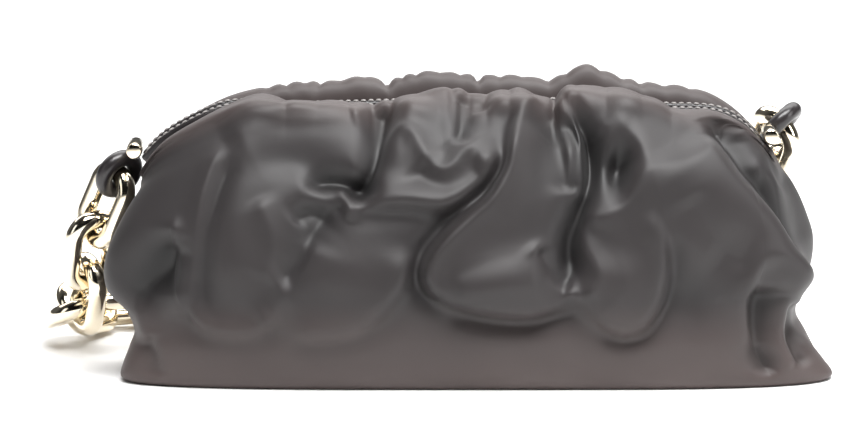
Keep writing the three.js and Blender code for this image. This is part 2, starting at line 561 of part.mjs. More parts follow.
// A chain with one more link, for each change of roll, or the chain itself where it is whole
function growChain(route, seat, chain, changes) {
  if (chain.whole) return [chain];
  const order = chain.links.length;
  const last = chain.links[order - 1];
  const roll = (linkRolls[order] ?? 0) + 90 * (order % 2);
  return changes.map((change) => {
    const link = nextLink(route, last, roll + change);
    if (link.share >= 1 || link.far.distanceTo(seat) < loopReach) return { ...chain, whole: true };
    const lack = Math.max(-linkRoom(link, last), 0);
    const cost = chain.cost + lackCost * lack + Math.abs(change) + endCost(link, seat);
    return { links: [...chain.links, link], whole: false, cost };
  });
}

// Best chain along a route with the given changes of roll
function bestChain(route, seat, changes) {
  let chains = [{ links: [layLink(route, route.getPointAt(0), 0, linkRolls[0])], whole: false, cost: 0 }];
  while (chains.some(({ whole }) => !whole)) {
    chains = chains.flatMap((chain) => growChain(route, seat, chain, changes));
    chains = chains.filter(({ links }, i) => chains.findIndex((other) => other.links === links) === i);
    chains = chains.sort((a, b) => a.cost - b.cost).slice(0, chainTries);
  }
  return chains[0];
}

// Links along the route, with the table's rolls, or with changed ones where those leave no room
function linkPlaces(leftSeat, rightSeat) {
  const route = routeCurve(leftSeat, rightSeat);
  const plain = bestChain(route, rightSeat, [0]).links;
  const clear = plain.slice(1).every((link, i) => linkRoom(link, plain[i]) > -facetGive);
  const turned = endCost(plain[plain.length - 1], rightSeat) > 0;
  return clear && !turned ? plain : bestChain(route, rightSeat, rollChanges).links;
}

// Turn a flat ring so that its X lies along one direction and its Y along another
function placeMesh(mesh, centre, along, side) {
  const normal = along.clone().cross(side).normalize();
  mesh.quaternion.setFromRotationMatrix(new THREE.Matrix4().makeBasis(along, side, normal));
  mesh.position.copy(centre);
  return mesh;
}

function makeMesh(name, geometry, finish) {
  const mesh = new THREE.Mesh(geometry, new THREE.MeshStandardMaterial({ ...finish, side: THREE.FrontSide }));
  mesh.name = name;
  return mesh;
}

// Chain: every link is a mesh of its own
function addChain(group, leftSeat, rightSeat) {
  const geometry = wireRing(linkPath(), linkBar / 2, linkWireSides);
  const places = linkPlaces(leftSeat, rightSeat);
  places.forEach(({ centre, axis, side }, i) => {
    const mesh = makeMesh(`link_${String(i + 1).padStart(2, "0")}`, geometry, paleGold);
    group.add(placeMesh(mesh, centre, axis, side));
  });
  return places;
}

// Strap loop from a hinge pin's end to the bar of the chain's first or last link
function addLoop(group, name, bar, seat) {
  const reach = seat.clone().sub(bar.place);
  const normal = bar.side.clone().addScaledVector(reach, -bar.side.dot(reach) / reach.lengthSq()).normalize();
  const along = reach.clone().normalize();
  const straight = Math.max(reach.length() - loopReach - loopRadius, 0);
  const mesh = makeMesh(name, wireRing(loopPath(straight), loopTubeRadius, loopTubeSides), edgeLeather);
  const centre = bar.place.clone().addScaledVector(along, straight / 2);
  group.add(placeMesh(mesh, centre, along, normal.clone().cross(along).normalize()));
}

// Hinge pin across the two frame halves at one of their ends, with a stub towards the strap loop
function addPin(group, name, end, inner, back) {
  const front = mouthGap / 2 + frameThickness;
  const geometry = new THREE.CylinderGeometry(pinRadius, pinRadius, front + back, pinSides);
  const mesh = makeMesh(name, geometry, paleGold);
  const edge = inner.clone().sub(end).normalize();
  const upward = new THREE.Vector3(-edge.z, 0, edge.x).multiplyScalar(Math.sign(edge.x));
  const place = end.clone().addScaledVector(upward, pinRadius + seatClearance);
  mesh.position.set(place.x, (back - front) / 2, place.z);
  group.add(mesh);
  return new THREE.Vector3(place.x, back, place.z);
}

const group = new THREE.Group();
group.add(makeMesh("pouch_body", leatherShell(), leather));
group.add(makeMesh("mouth_frame_front", frameHalf(-1), edgeLeather));
group.add(makeMesh("mouth_frame_back", frameHalf(1), edgeLeather));
const frame = framePath();
const leftSeat = addPin(group, "hinge_pin_left", frame[0], frame[1], pinStubLeft);
const rightSeat = addPin(group, "hinge_pin_right", frame[frameSteps], frame[frameSteps - 1], pinStubRight);
const links = addChain(group, leftSeat, rightSeat);
const firstLink = links[0];
const lastLink = links[links.length - 1];
addLoop(group, "strap_loop_left", { place: firstLink.near, side: firstLink.side }, leftSeat);
addLoop(group, "strap_loop_right", { place: lastLink.far, side: lastLink.side }, rightSeat);

export default group;
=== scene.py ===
"""Looks of the gathered leather pouch bag with its chunky chain.

Blender units are metres. The shape values are in millimetres, in shares of the bag's sizes or, on the
front, in pixels of the photograph's frame.
"""
import math

import bmesh
import bpy
import numpy as np
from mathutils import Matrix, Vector


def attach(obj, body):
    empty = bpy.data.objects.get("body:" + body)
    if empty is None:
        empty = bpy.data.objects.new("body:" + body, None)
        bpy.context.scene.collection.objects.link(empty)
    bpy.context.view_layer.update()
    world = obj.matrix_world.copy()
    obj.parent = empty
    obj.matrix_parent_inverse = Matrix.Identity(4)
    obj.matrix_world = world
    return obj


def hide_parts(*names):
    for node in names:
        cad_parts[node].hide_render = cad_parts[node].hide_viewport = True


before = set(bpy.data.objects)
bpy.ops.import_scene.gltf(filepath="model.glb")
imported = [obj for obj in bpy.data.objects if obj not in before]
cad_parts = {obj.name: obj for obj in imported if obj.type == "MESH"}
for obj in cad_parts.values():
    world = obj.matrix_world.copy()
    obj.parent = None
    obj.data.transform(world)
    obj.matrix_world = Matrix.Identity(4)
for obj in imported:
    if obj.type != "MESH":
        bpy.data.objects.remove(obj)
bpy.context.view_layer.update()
MM = 0.001

# Bag sizes, as in the construction model
BAG_WIDTH = 320.0
BAG_HEIGHT = 131.0
BAG_DEPTH = 104.0
HALF_WIDTH = BAG_WIDTH / 2
HALF_DEPTH = BAG_DEPTH / 2
LEATHER_WALL = 2.2
GATHER_HEIGHT = 10.0
TUCK_DEPTH = 13.0
EAR_REACH = 4.5
EAR_WIDTH = 0.3
END_SPAN = (0.72, 0.97)  # shares of half the width between which tuck and ear set in
FACE_BLEND = 0.5  # depth shares within which the mouth line goes from front to back

# Grid of the fine leather shell
SIDES = 4  # front, right end, back and left end
FRONT_COLUMNS = 300
END_COLUMNS = 60
BACK_COLUMNS = 200
OUTSIDE_ROWS = 118
FRONT_MIDDLE = 0.5
PROFILE_STEPS = 2000  # places on the front's profile that even rows are found from
NORMAL_STEP = 0.004  # share of a side or of the height between the points of a slope
INSIDE_STEP = 6  # outside rows for each row of the inside
INSIDE_TOP = 0.95
INSIDE_FOOT = 0.1  # rise up to which the inside stays a wall's thickness above the ground
FLOOR_SHARES = (0.985, 0.97)  # width and depth of the inside's floor in shares of its lowest row

# Camera: the photograph's frame, its scale and the place of the bag's origin in it
PHOTO_SIZE = (868, 435)
PHOTO_ORIGIN = (474.0, 371.0)
PHOTO_SCALE = 2.225  # pixels for each millimetre at the bag's middle
CAMERA_LIFT = math.radians(10.5)
CAMERA_DISTANCE = 2500.0
SENSOR_WIDTH = 36.0
CLIP_END = 50.0  # metres

# Studio: brightness behind the camera and behind the bag, and the share of a direction within which
# one fades into the other
STUDIO_FRONT = 0.14
STUDIO_BACK = 2.0
STUDIO_FADE = 0.35

# Floor and lamps in metres and watts: name, place, aim, size and power of each lamp
FLOOR_HALF = 6.0
BAG_MIDDLE = (0.0, 0.0, 0.07)
LIGHTS = [
    ("top_front", (0.12, -0.42, 1.0), BAG_MIDDLE, (1.0, 0.4), 24.0),
    ("top_back", (0.1, 0.5, 1.2), BAG_MIDDLE, (1.4, 0.6), 13.0),
    ("left_side", (-1.35, -0.75, 0.5), BAG_MIDDLE, (0.5, 0.9), 2.0),
    ("right_side", (1.3, -0.55, 0.55), BAG_MIDDLE, (0.45, 0.9), 7.0),
    ("rear_floor", (0.0, 3.2, 2.2), (0.0, 3.2, 0.0), (6.0, 3.6), 160.0),
]

# Colours along each look's noise: place on the ramp and colour
NAPPA_DARK = [(0.3, (0.0108, 0.0088, 0.0093)), (0.7, (0.0170, 0.0139, 0.0145))]
# Painted floor reflection and painted crest highlight: the lighter colour the leather takes on its foot band
# and mouth edge
NAPPA_PAINTED_REFLECTION = [(0.3, (0.058, 0.042, 0.0400)), (0.7, (0.074, 0.055, 0.0520))]
EDGE_COLOURS = [(0.3, (0.014, 0.012, 0.013)), (0.7, (0.026, 0.022, 0.023))]
GOLD_COLOURS = [(0.3, (0.86, 0.76, 0.58)), (0.7, (0.92, 0.84, 0.69))]
THREAD_COLOURS = [(0.3, (0.16, 0.15, 0.145)), (0.7, (0.30, 0.28, 0.27))]
FLOOR_COLOURS = [(0.3, (0.90, 0.895, 0.89)), (0.7, (0.92, 0.915, 0.91))]
# Painted shade in the creases and painted light on the ridges, between the lowest and the highest lift in
# millimetres
CREASE_LIFTS = (-7.0, 3.0)
PAINTED_FOLD_SHADES = [(0.1, (0.42, 0.42, 0.42)), (0.6, (1.0, 1.0, 1.0)), (1.0, (1.22, 1.2, 1.18))]

# Upright sections: shares of the mouth's height, half the width and half the depth
SECTION_COLUMNS = ("rise", "left", "right", "front", "back", "square")
SECTIONS = [
    (0.0, 0.972, 0.972, 0.8, 0.92, 4.2),
    (0.025, 0.984, 0.984, 0.85, 0.96, 4.2),
    (0.08, 0.98, 0.968, 0.905, 1.0, 4.0),
    (0.16, 0.968, 0.945, 0.955, 1.02, 3.8),
    (0.24, 0.958, 0.922, 0.965, 1.035, 3.6),
    (0.32, 0.985, 0.935, 0.97, 1.04, 3.4),
    (0.41, 1.045, 0.968, 0.965, 1.035, 3.2),
    (0.5, 1.07, 0.992, 0.945, 1.01, 3.0),
    (0.59, 1.072, 1.0, 0.91, 0.97, 2.9),
    (0.67, 1.06, 0.99, 0.86, 0.91, 2.8),
    (0.75, 1.04, 0.972, 0.785, 0.83, 2.7),
    (0.82, 1.015, 0.945, 0.69, 0.73, 2.7),
    (0.88, 0.99, 0.91, 0.58, 0.62, 2.7),
    (0.93, 0.98, 0.888, 0.46, 0.5, 2.8),
    (0.97, 0.97, 0.868, 0.345, 0.375, 4.0),
    (0.995, 0.963, 0.85, 0.255, 0.31, 10.0),
    (1.0, 0.958, 0.84, 0.215, 0.275, 14.0),
]

# Mouth line: along in shares of half the width, height of the bag's height, gathers of theirs
MOUTH_COLUMNS = ("along", "height", "front", "back")
MOUTH_LINE = [
    (-0.96, 0.7, 0.0, 0.0),
    (-0.925, 0.752, 0.0, 0.0),
    (-0.87, 0.818, 0.0, 0.0),
    (-0.78, 0.882, 0.02, 0.05),
    (-0.69, 0.928, 0.16, 0.16),
    (-0.6, 0.948, 0.43, 0.3),
    (-0.51, 0.951, 0.12, 0.52),
    (-0.4, 0.955, 0.06, 0.54),
    (-0.31, 0.958, -0.05, 0.72),
    (-0.25, 0.96, 0.0, 0.52),
    (-0.16, 0.962, 0.3, 0.86),
    (-0.06, 0.964, 0.56, 0.8),
    (0.01, 0.965, 0.22, 0.66),
    (0.12, 0.965, 0.5, 0.66),
    (0.21, 0.965, 0.06, 0.5),
    (0.26, 0.965, 0.6, 0.8),
    (0.32, 0.964, 0.6, 1.15),
    (0.41, 0.96, 0.54, 0.66),
    (0.5, 0.952, 0.2, 0.48),
    (0.57, 0.942, -0.16, 0.5),
    (0.65, 0.922, 0.05, 0.45),
    (0.71, 0.895, 0.1, 0.25),
    (0.76, 0.855, 0.05, 0.06),
    (0.8, 0.805, 0.0, 0.0),
    (0.84, 0.757, 0.0, 0.0),
]

# Rolled edge of the gathered leather over the frame
ROLL_STEPS = 7
ROLL_INNER = 8.3  # distance of its inner end from the middle of the mouth
ROLL_DROP = 5.0  # and how far that end lies below the crest
ROLL_FADE = 0.5  # share of the pleats' depth that is lost on the way there
PLEAT_RISE = 0.86  # rise from which the pleats set in
PLEAT_SIDES = (0.2, 0.8)  # share of a direction between which the pleats of a face set in
PLEAT_SHARPNESS = 1.6
PLEAT_INWARD = 0.5  # share of its depth that a pleat goes in

# Pleats of the rolled edge: place and half width in pixels of the photograph, depth in millimetres,
# and lean in pixels from the crest to the frame
FRONT_PLEATS = [
    (287, 5, 0.9, 4), (318, 9, 0.7, 2), (350, 8, 0.8, 5), (373, 7, 2.4, 4), (392, 5, 1.4, -3),
    (418, 9, 0.7, 2), (452, 6, 1.6, -2), (468, 5, 1.2, 2), (486, 5, 1.0, 0), (508, 6, 1.3, 3),
    (533, 8, 0.8, -2), (553, 4, 3.0, 2), (575, 6, 0.8, 3), (604, 8, 0.9, 4), (640, 9, 0.8, 5),
    (668, 7, 1.0, 4),
]
BACK_PLEATS = [
    (268, 6, 1.2, 6), (286, 5, 1.6, 10), (305, 5, 1.2, 9), (321, 4, 1.8, -8), (342, 8, 1.0, 4),
    (364, 6, 1.0, 5), (387, 5, 3.6, 3), (402, 4, 1.6, 4), (416, 6, 1.8, -2), (440, 9, 0.8, 3),
    (460, 5, 1.2, 2), (478, 4, 3.6, 1), (500, 5, 1.4, -4), (522, 7, 0.9, 3), (548, 6, 1.6, 2),
    (566, 5, 1.2, 3), (600, 6, 1.6, 5), (622, 5, 1.4, 5), (640, 5, 2.0, 6), (664, 7, 1.4, 6),
    (690, 6, 1.0, 5),
]

# Tuck and ear of each end: across and width in shares of half the depth, the rest of the height
END_FORM_COLUMNS = ("tuck_across", "tuck_width", "tuck_middle", "tuck_tall", "ear_across", "ear_tall")
END_FORMS = [
    (0.12, 0.42, 0.5, 0.26, -0.62, 0.12),
    (-0.12, 0.42, 0.5, 0.26, -0.36, 0.12),
]

# Folds of the front, with places in pixels of the photograph's frame and sizes in millimetres.
# Ridges and creases: height (a crease's is negative), width, line
FRONT_CREASES = [
    # Left side
    (2.6, 3.2, [(226, 140), (216, 160), (203, 199), (194, 255), (190, 290), (196, 318)]),
    (-3.0, 4.0, [(232, 150), (218, 190), (206, 230), (202, 270), (204, 306)]),
    (2.2, 3.1, [(174, 212), (176, 240), (180, 268), (179, 290), (183, 324)]),
    (-3.4, 5.5, [(172, 230), (166, 262), (169, 296)]),
    (-5.5, 5.5, [(128, 306), (135, 302), (150, 284), (165, 265), (173, 240)]),
    (2.2, 5.0, [(256, 196), (265, 214), (273, 238), (271, 262), (262, 284)]),
    (2.3, 9.8, [(222, 144), (253, 129), (310, 125), (370, 114)]),
    (2.7, 6.4, [(320, 238), (305, 270), (291, 288), (275, 308), (260, 328)]),
    (2.8, 3.1, [(138, 300), (146, 327), (158, 351), (162, 381)]),
    (-4.5, 3.3, [(146, 336), (155, 360), (157, 380)]),
    # Creases under the middle of the mouth
    (-8.0, 4.0, [(384, 88), (382, 114), (380, 136), (376, 158), (368, 177), (356, 185), (340, 180),
                 (322, 180), (300, 190)]),
    (-3.6, 3.7, [(292, 224), (306, 213), (330, 211), (348, 205)]),
    (-4.4, 5.5, [(332, 210), (312, 233), (304, 255), (291, 272), (275, 283)]),
    (2.2, 2.4, [(339, 184), (345, 196), (350, 212), (348, 222)]),
    (2.3, 3.6, [(350, 120), (362, 113), (374, 94)]),
    (-3.8, 2.8, [(463, 78), (464, 104), (463, 128), (458, 146)]),
    (-3.0, 2.9, [(478, 88), (482, 112)]),
    # U-shaped fold
    (3.0, 3.4, [(376, 205), (380, 170), (387, 142), (398, 130), (412, 132), (422, 148), (431, 163),
                (443, 170), (455, 164), (465, 150), (475, 141), (487, 139), (497, 146)]),
    (-2.2, 5.5, [(412, 164), (428, 182), (447, 188), (466, 180), (484, 164)]),
    (-1.6, 5.2, [(441, 82), (439, 110), (441, 134), (446, 152)]),
    # Big lobe
    (3.0, 2.2, [(560, 100), (545, 96), (530, 102), (518, 122), (513, 147), (509, 166), (500, 183),
                (489, 199), (473, 212), (456, 227), (440, 244), (430, 259), (427, 274), (434, 289),
                (452, 299)]),
    (2.0, 7.0, [(448, 292), (500, 286), (548, 279)]),
    (3.4, 3.4, [(530, 240), (546, 270), (565, 290), (585, 295), (600, 283)]),
    (-5.0, 3.3, [(538, 246), (548, 268), (560, 281), (573, 288)]),
    (-3.0, 2.6, [(505, 140), (501, 164), (492, 182), (480, 197), (464, 210), (447, 224), (431, 241),
                 (420, 258), (415, 276), (423, 297), (444, 311)]),
    (-2.2, 3.4, [(444, 311), (470, 318), (500, 323), (530, 324), (562, 317), (588, 306)]),
    (-2.2, 2.6, [(590, 322), (608, 338), (626, 342), (648, 335), (664, 315), (673, 291), (675, 262),
                 (669, 232)]),
    # Deep pleat right of the middle
    (3.6, 2.7, [(557, 86), (560, 104), (570, 119), (578, 130), (580, 142), (578, 177), (573, 207)]),
    (2.7, 2.7, [(552, 108), (563, 134), (569, 155), (570, 194)]),
    (-4.0, 2.0, [(559, 112), (569, 130), (575, 150), (573, 198)]),
    (-4.0, 3.3, [(546, 104), (557, 135), (563, 160), (566, 196)]),
    (2.8, 3.9, [(556, 96), (559, 89), (566, 86), (577, 92), (590, 110), (602, 136)]),
    (-9.5, 4.8, [(566, 92), (576, 114), (586, 131), (591, 150), (590, 175), (583, 199), (578, 216),
                 (571, 238), (569, 255), (573, 272), (582, 290)]),
    (3.0, 3.6, [(606, 213), (590, 217), (583, 233), (587, 251), (596, 266), (598, 279), (584, 297)]),
    # Right lobe
    (3.1, 6.4, [(606, 108), (628, 132), (642, 150), (644, 168), (635, 188), (622, 206), (604, 217),
                (588, 230)]),
    (2.7, 10.5, [(646, 152), (655, 188), (664, 211), (680, 235), (702, 251), (720, 264)]),
    # Right side
    (-2.4, 6.0, [(684, 196), (704, 228), (728, 254), (754, 264)]),
    (-6.0, 4.8, [(766, 282), (757, 316), (759, 348), (768, 366), (784, 374)]),
    (3.9, 3.6, [(785, 292), (780, 329), (786, 351), (799, 371)]),
    (-6.0, 3.1, [(799, 300), (793, 330), (797, 352), (808, 368)]),
    (-7.0, 4.0, [(704, 112), (722, 138), (745, 168), (766, 190), (784, 214), (799, 240), (808, 266)]),
    (2.8, 4.5, [(716, 128), (733, 153), (750, 168), (770, 171)]),
    (2.3, 3.1, [(728, 112), (741, 126), (744, 140)]),
]
# Ledges: the leather left of the line lies higher. Height, width of the edge, reach of the rise, line
FRONT_LEDGES = [
    (4.6, 2.0, 10.0, [(336, 214), (352, 210), (383, 208), (411, 207), (440, 210), (457, 205),
                      (474, 192), (490, 178), (500, 162), (506, 140)]),
    (6.4, 2.0, 19.0, [(536, 98), (518, 122), (511, 147), (507, 166), (498, 183), (487, 199), (470, 212),
                      (453, 227), (437, 244), (427, 259), (423, 274), (430, 290), (446, 301),
                      (470, 308), (500, 314), (530, 315), (560, 309), (584, 299)]),
    (4.6, 2.4, 12.0, [(578, 292), (592, 314), (608, 328), (626, 332), (644, 326), (657, 310),
                      (665, 291), (667, 264), (662, 235), (650, 200)]),
    (4.0, 2.0, 8.0, [(188, 300), (196, 322), (214, 333), (238, 336), (262, 332), (284, 318)]),
    (4.4, 2.2, 12.0, [(280, 338), (322, 338), (356, 332), (380, 317), (403, 290), (414, 268),
                      (421, 246)]),
    (7.6, 2.9, 27.6, [(808, 300), (804, 276), (792, 246), (778, 218), (759, 197), (737, 175),
                      (716, 146), (698, 122)]),
    (4.2, 2.4, 9.0, [(760, 356), (752, 326), (749, 296), (755, 272), (767, 261), (780, 263), (789, 276),
                     (794, 298)]),
]
# Broad swells and dents: height, centre, half sizes in pixels and turn in degrees
FRONT_SWELLS = [
    (-3.8, (541, 165), (20, 50), 8),
    (-11.2, (620, 168), (12, 27), 6),
    (-8.1, (362, 192), (14, 12), 0),
    (-5.0, (145, 272), (20, 26), 20),
    (-5.0, (590, 150), (10, 30), 0),
    (6.4, (500, 272), (56, 28), -8),
    (6.4, (622, 286), (28, 34), 0),
    (2.4, (435, 196), (56, 17), 0),
    (4.0, (236, 262), (30, 58), 0),
    (5.2, (350, 280), (50, 40), -12),
    (4.4, (705, 190), (40, 60), -30),
    (1.6, (400, 152), (14, 18), 0),
    (2.4, (485, 155), (15, 18), 0),
    (-3.8, (690, 300), (22, 30), 0),
    (-3.1, (300, 160), (40, 18), 0),
    (5.0, (290, 112), (50, 12), 0),
    (4.4, (415, 108), (20, 12), 0),
    (4.4, (512, 104), (24, 10), 0),
    (4.4, (625, 104), (28, 12), 10),
]

# Folds of the back, with places across and up in shares of half the width and of the height and
# sizes in millimetres, in the same columns
BACK_CREASES = [
    (-7.0, 4.4, [(-0.3, 1.02), (-0.32, 0.85), (-0.38, 0.6), (-0.5, 0.5)]),
    (2.8, 5.6, [(-0.22, 1.0), (-0.24, 0.8), (-0.30, 0.5)]),
    (-7.0, 4.0, [(-0.1, 1.02), (-0.09, 0.85), (-0.12, 0.6)]),
    (3.1, 4.2, [(-0.04, 1.0), (-0.03, 0.85), (-0.06, 0.62)]),
    (-8.0, 4.6, [(0.2, 1.02), (0.18, 0.8), (0.24, 0.5), (0.22, 0.3)]),
    (3.4, 5.6, [(0.29, 1.05), (0.28, 0.8), (0.34, 0.5), (0.33, 0.36)]),
    (-7.0, 4.4, [(0.44, 1.0), (0.42, 0.8), (0.5, 0.55), (0.5, 0.35)]),
    (2.7, 8.4, [(-0.62, 0.88), (-0.52, 0.7), (-0.5, 0.45)]),
    (-5.0, 4.4, [(-0.52, 0.98), (-0.44, 0.78), (-0.42, 0.66)]),
    (2.7, 8.4, [(0.08, 0.95), (0.07, 0.7), (0.0, 0.42)]),
    (2.5, 7.0, [(0.6, 0.92), (0.62, 0.7), (0.69, 0.5)]),
    (-4.0, 4.4, [(0.7, 0.86), (0.74, 0.66), (0.82, 0.5)]),
    (2.7, 3.9, [(-0.82, 0.62), (-0.78, 0.4), (-0.84, 0.2)]),
    (-3.6, 3.7, [(-0.88, 0.6), (-0.84, 0.4), (-0.9, 0.22)]),
    (2.7, 3.9, [(0.86, 0.56), (0.82, 0.36), (0.88, 0.18)]),
]
BACK_LEDGES = [
    (5.2, 2.6, 25.3, [(-0.78, 0.62), (-0.7, 0.4), (-0.55, 0.26), (-0.34, 0.22), (-0.2, 0.3), (-0.14, 0.46)]),
    (4.8, 2.6, 23.0, [(-0.1, 0.34), (0.05, 0.2), (0.2, 0.24), (0.3, 0.4)]),
    (5.2, 2.6, 23.0, [(0.34, 0.34), (0.46, 0.2), (0.62, 0.22), (0.73, 0.4), (0.75, 0.62)]),
]
BACK_SWELLS = [
    (4.0, (-0.45, 0.45), (0.24, 0.2), 0),
    (4.0, (0.1, 0.4), (0.16, 0.16), 0),
    (4.0, (0.56, 0.42), (0.16, 0.2), 0),
    (-4.0, (-0.2, 0.62), (0.08, 0.16), 0),
    (-4.0, (0.36, 0.66), (0.07, 0.16), 0),
    (-3.0, (-0.7, 0.7), (0.1, 0.14), 20),
]

# Form of the folds
FOLD_SIDES = (-0.1, 0.7)  # share of a direction between which the folds of a face set in
FOLD_LEVELS = (0.02, 0.07)  # and shares of the bag's height
FOLD_FREE_RISE = 0.97  # rise from which they die out towards the mouth
FOLD_TAPER = 0.16  # share of a line's length over which each end dies out
LINE_STEP = 1.5  # millimetres
CREASE_ROUND = 0.8  # millimetres over which the crest of a ridge or crease is rounded
CREASE_MIDDLE = 0.55  # share of the height in a crease's narrow middle
CREASE_BASE = 0.45  # and in its broad base
CREASE_BASE_WIDTH = 1.8  # in widths of the crease
CREASE_FADE = 3.6
CREASE_REACH = 5.0
LEDGE_REACH = 2.5  # in reaches of the ledge
LEDGE_HOLLOW = 0.16  # depth of the hollow below a ledge, in shares of its height
HOLLOW_WIDTH = 2.2  # distance and width of that hollow, in widths of the edge
SHARP_BLUR = 0.7  # in grid steps
BROAD_BLUR = 1.1

# Painted light: lighter leather for a painted floor reflection on a band above the foot and a painted
# highlight at the mouth's edge. Height of that band above the foot, its share at the mouth's edge and the
# rise from which that sets in
PAINTED_REFLECTION_TALL = 42.0
PAINTED_CREST_HIGHLIGHT = 0.5
PAINTED_HIGHLIGHT_RISE = 0.9

# Frame halves, pins and the stitches of the binding, millimetres
FRAME_RISE = 1.6  # how far the frame's edge stands above the mouth line at its ends
FRAME_SINK = 3.0  # and lies below it in the middle
FRAME_SPAN = (0.5, 0.75)  # shares of half the width between which one goes over into the other
FRAME_SAMPLES = 400
FRAME_BEVEL = 1.2
PIN_BEVEL = 0.9
BEVEL_STEPS = 3
BEVEL_ANGLE = math.radians(40)  # edges sharper than this are rounded
FLAT_ANGLE = math.radians(1)  # faces that meet at less than this are joined first
WELD_METRES = 1e-6
STITCH_PITCH = 3.4
STITCH_LENGTH = 2.5
STITCH_RADIUS = 0.36
STITCH_SIDES = 6
STITCH_ROWS = (-6.8, -4.8, 4.8, 6.8)
STITCH_RINGS = ((-0.5, 0.35), (-0.3, 0.9), (0.0, 1.0), (0.3, 0.9), (0.5, 0.35))  # along, thickness
STITCH_SINK = 0.75  # share of its radius by which a stitch lies lower than its thickness

# Chain and loops: smooth rings in the place of the CAD ones, millimetres
LINK_LENGTH = 42.0
LINK_WIDTH = 28.0
LINK_BAR = 8.5
LINK_CORNER = 9.0
LOOP_TUBE = 3.8
NODE_DIGITS = 7  # of a CAD ring's points in metres, so that equal ones count once
CORNER_STEPS = 24
RING_STEPS = 72
WIRE_SIDES = 20


def columns(names, rows):
    """A table as one array for each named column."""
    return {name: np.array([row[i] for row in rows]) for i, name in enumerate(names)}


SECTION = columns(SECTION_COLUMNS, SECTIONS)
MOUTH = columns(MOUTH_COLUMNS, MOUTH_LINE)


def read_table(keys, values, at):
    """Smooth curve through a table's rows."""
    at = np.clip(at, keys[0], keys[-1])
    i = np.clip(np.searchsorted(keys, at, side="right") - 1, 0, len(keys) - 2)
    before = np.maximum(i - 1, 0)
    after = np.minimum(i + 2, len(keys) - 1)
    step = keys[i + 1] - keys[i]
    share = (at - keys[i]) / step
    start = (values[i + 1] - values[before]) / (keys[i + 1] - keys[before]) * step
    end = (values[after] - values[i]) / (keys[after] - keys[i]) * step
    rise = values[i + 1] - values[i]
    square = share * share
    return (values[i] + start * share + (3 * rise - 2 * start - end) * square
            + (start + end - 2 * rise) * square * share)


def smooth_step(low, high, value):
    share = np.clip((value - low) / (high - low), 0.0, 1.0)
    return share * share * (3 - 2 * share)


def bell(value):
    return np.exp(-value * value)


def mouth_level(along):
    return BAG_HEIGHT * read_table(MOUTH["along"], MOUTH["height"], along)


def gather_level(along, face):
    return mouth_level(along) + GATHER_HEIGHT * read_table(MOUTH["along"], MOUTH[face], along)


def plan_direction(around):
    """Direction of a column seen from above: 0 to 1 is the front, then the right end, back, left."""
    side = np.floor(around).astype(int) % SIDES
    turn = 2 * (around - np.floor(around)) - 1
    across = np.choose(side, [turn, np.ones_like(turn), -turn, -np.ones_like(turn)])
    along = np.choose(side, [-np.ones_like(turn), turn, np.ones_like(turn), -turn])
    return across, along


def base_points(around, rise):
    """Points of the leather before its folds, millimetres, for grids of columns and rises."""
    across, along = plan_direction(around)
    read = {name: read_table(SECTION["rise"], SECTION[name], rise) for name in SECTION_COLUMNS[1:]}
    square = read["square"]
    reach = (np.abs(across) ** square + np.abs(along) ** square) ** (-1 / square)
    left = across < 0
    x = across * reach * HALF_WIDTH * np.where(left, read["left"], read["right"])
    y = along * reach * HALF_DEPTH * np.where(along < 0, read["front"], read["back"])
    mouth_half = np.where(left, SECTION["left"][-1], SECTION["right"][-1])
    place = across * reach * mouth_half
    face = smooth_step(-FACE_BLEND, FACE_BLEND, along * reach)
    edge = gather_level(place, "front") * (1 - face) + gather_level(place, "back") * face
    z = edge * rise
    forms = columns(END_FORM_COLUMNS, END_FORMS)
    form = {name: np.where(left, values[0], values[1]) for name, values in forms.items()}
    end_share = smooth_step(*END_SPAN, np.abs(x) / HALF_WIDTH)
    level = z / BAG_HEIGHT
    depth = y / HALF_DEPTH
    tuck = bell((depth - form["tuck_across"]) / form["tuck_width"])
    tuck = tuck * bell((level - form["tuck_middle"]) / form["tuck_tall"])
    ear = bell((depth - form["ear_across"]) / EAR_WIDTH) * bell(level / form["ear_tall"])
    x = x + np.sign(x) * end_share * (EAR_REACH * ear - TUCK_DEPTH * tuck)
    return np.stack([x, y, z], axis=-1)


def base_normals(around, rise):
    low = np.maximum(rise - NORMAL_STEP, 0)
    high = np.minimum(rise + NORMAL_STEP, 1)
    following = base_points(around + NORMAL_STEP, rise)
    previous = base_points((around + SIDES - NORMAL_STEP) % SIDES, rise)
    upward = base_points(around, high) - base_points(around, low)
    normals = np.cross(following - previous, upward)
    return normals / np.linalg.norm(normals, axis=-1, keepdims=True)


def camera_centre():
    """Point in millimetres that the middle of the photograph looks at, in the bag's middle plane."""
    x = (PHOTO_SIZE[0] / 2 - PHOTO_ORIGIN[0]) / PHOTO_SCALE
    up = (PHOTO_ORIGIN[1] - PHOTO_SIZE[1] / 2) / PHOTO_SCALE
    return np.array([x, 0.0, up / math.cos(CAMERA_LIFT)])


def photo_places(points):
    """Where points of the bag lie in the photograph's frame, in its pixels."""
    offset = points - camera_centre()
    up = offset[..., 2] * math.cos(CAMERA_LIFT) + offset[..., 1] * math.sin(CAMERA_LIFT)
    away = offset[..., 1] * math.cos(CAMERA_LIFT) - offset[..., 2] * math.sin(CAMERA_LIFT)
    scale = PHOTO_SCALE * CAMERA_DISTANCE / (CAMERA_DISTANCE + away)
    x = PHOTO_SIZE[0] / 2 + offset[..., 0] * scale
    y = PHOTO_SIZE[1] / 2 - up * scale
    return x, y


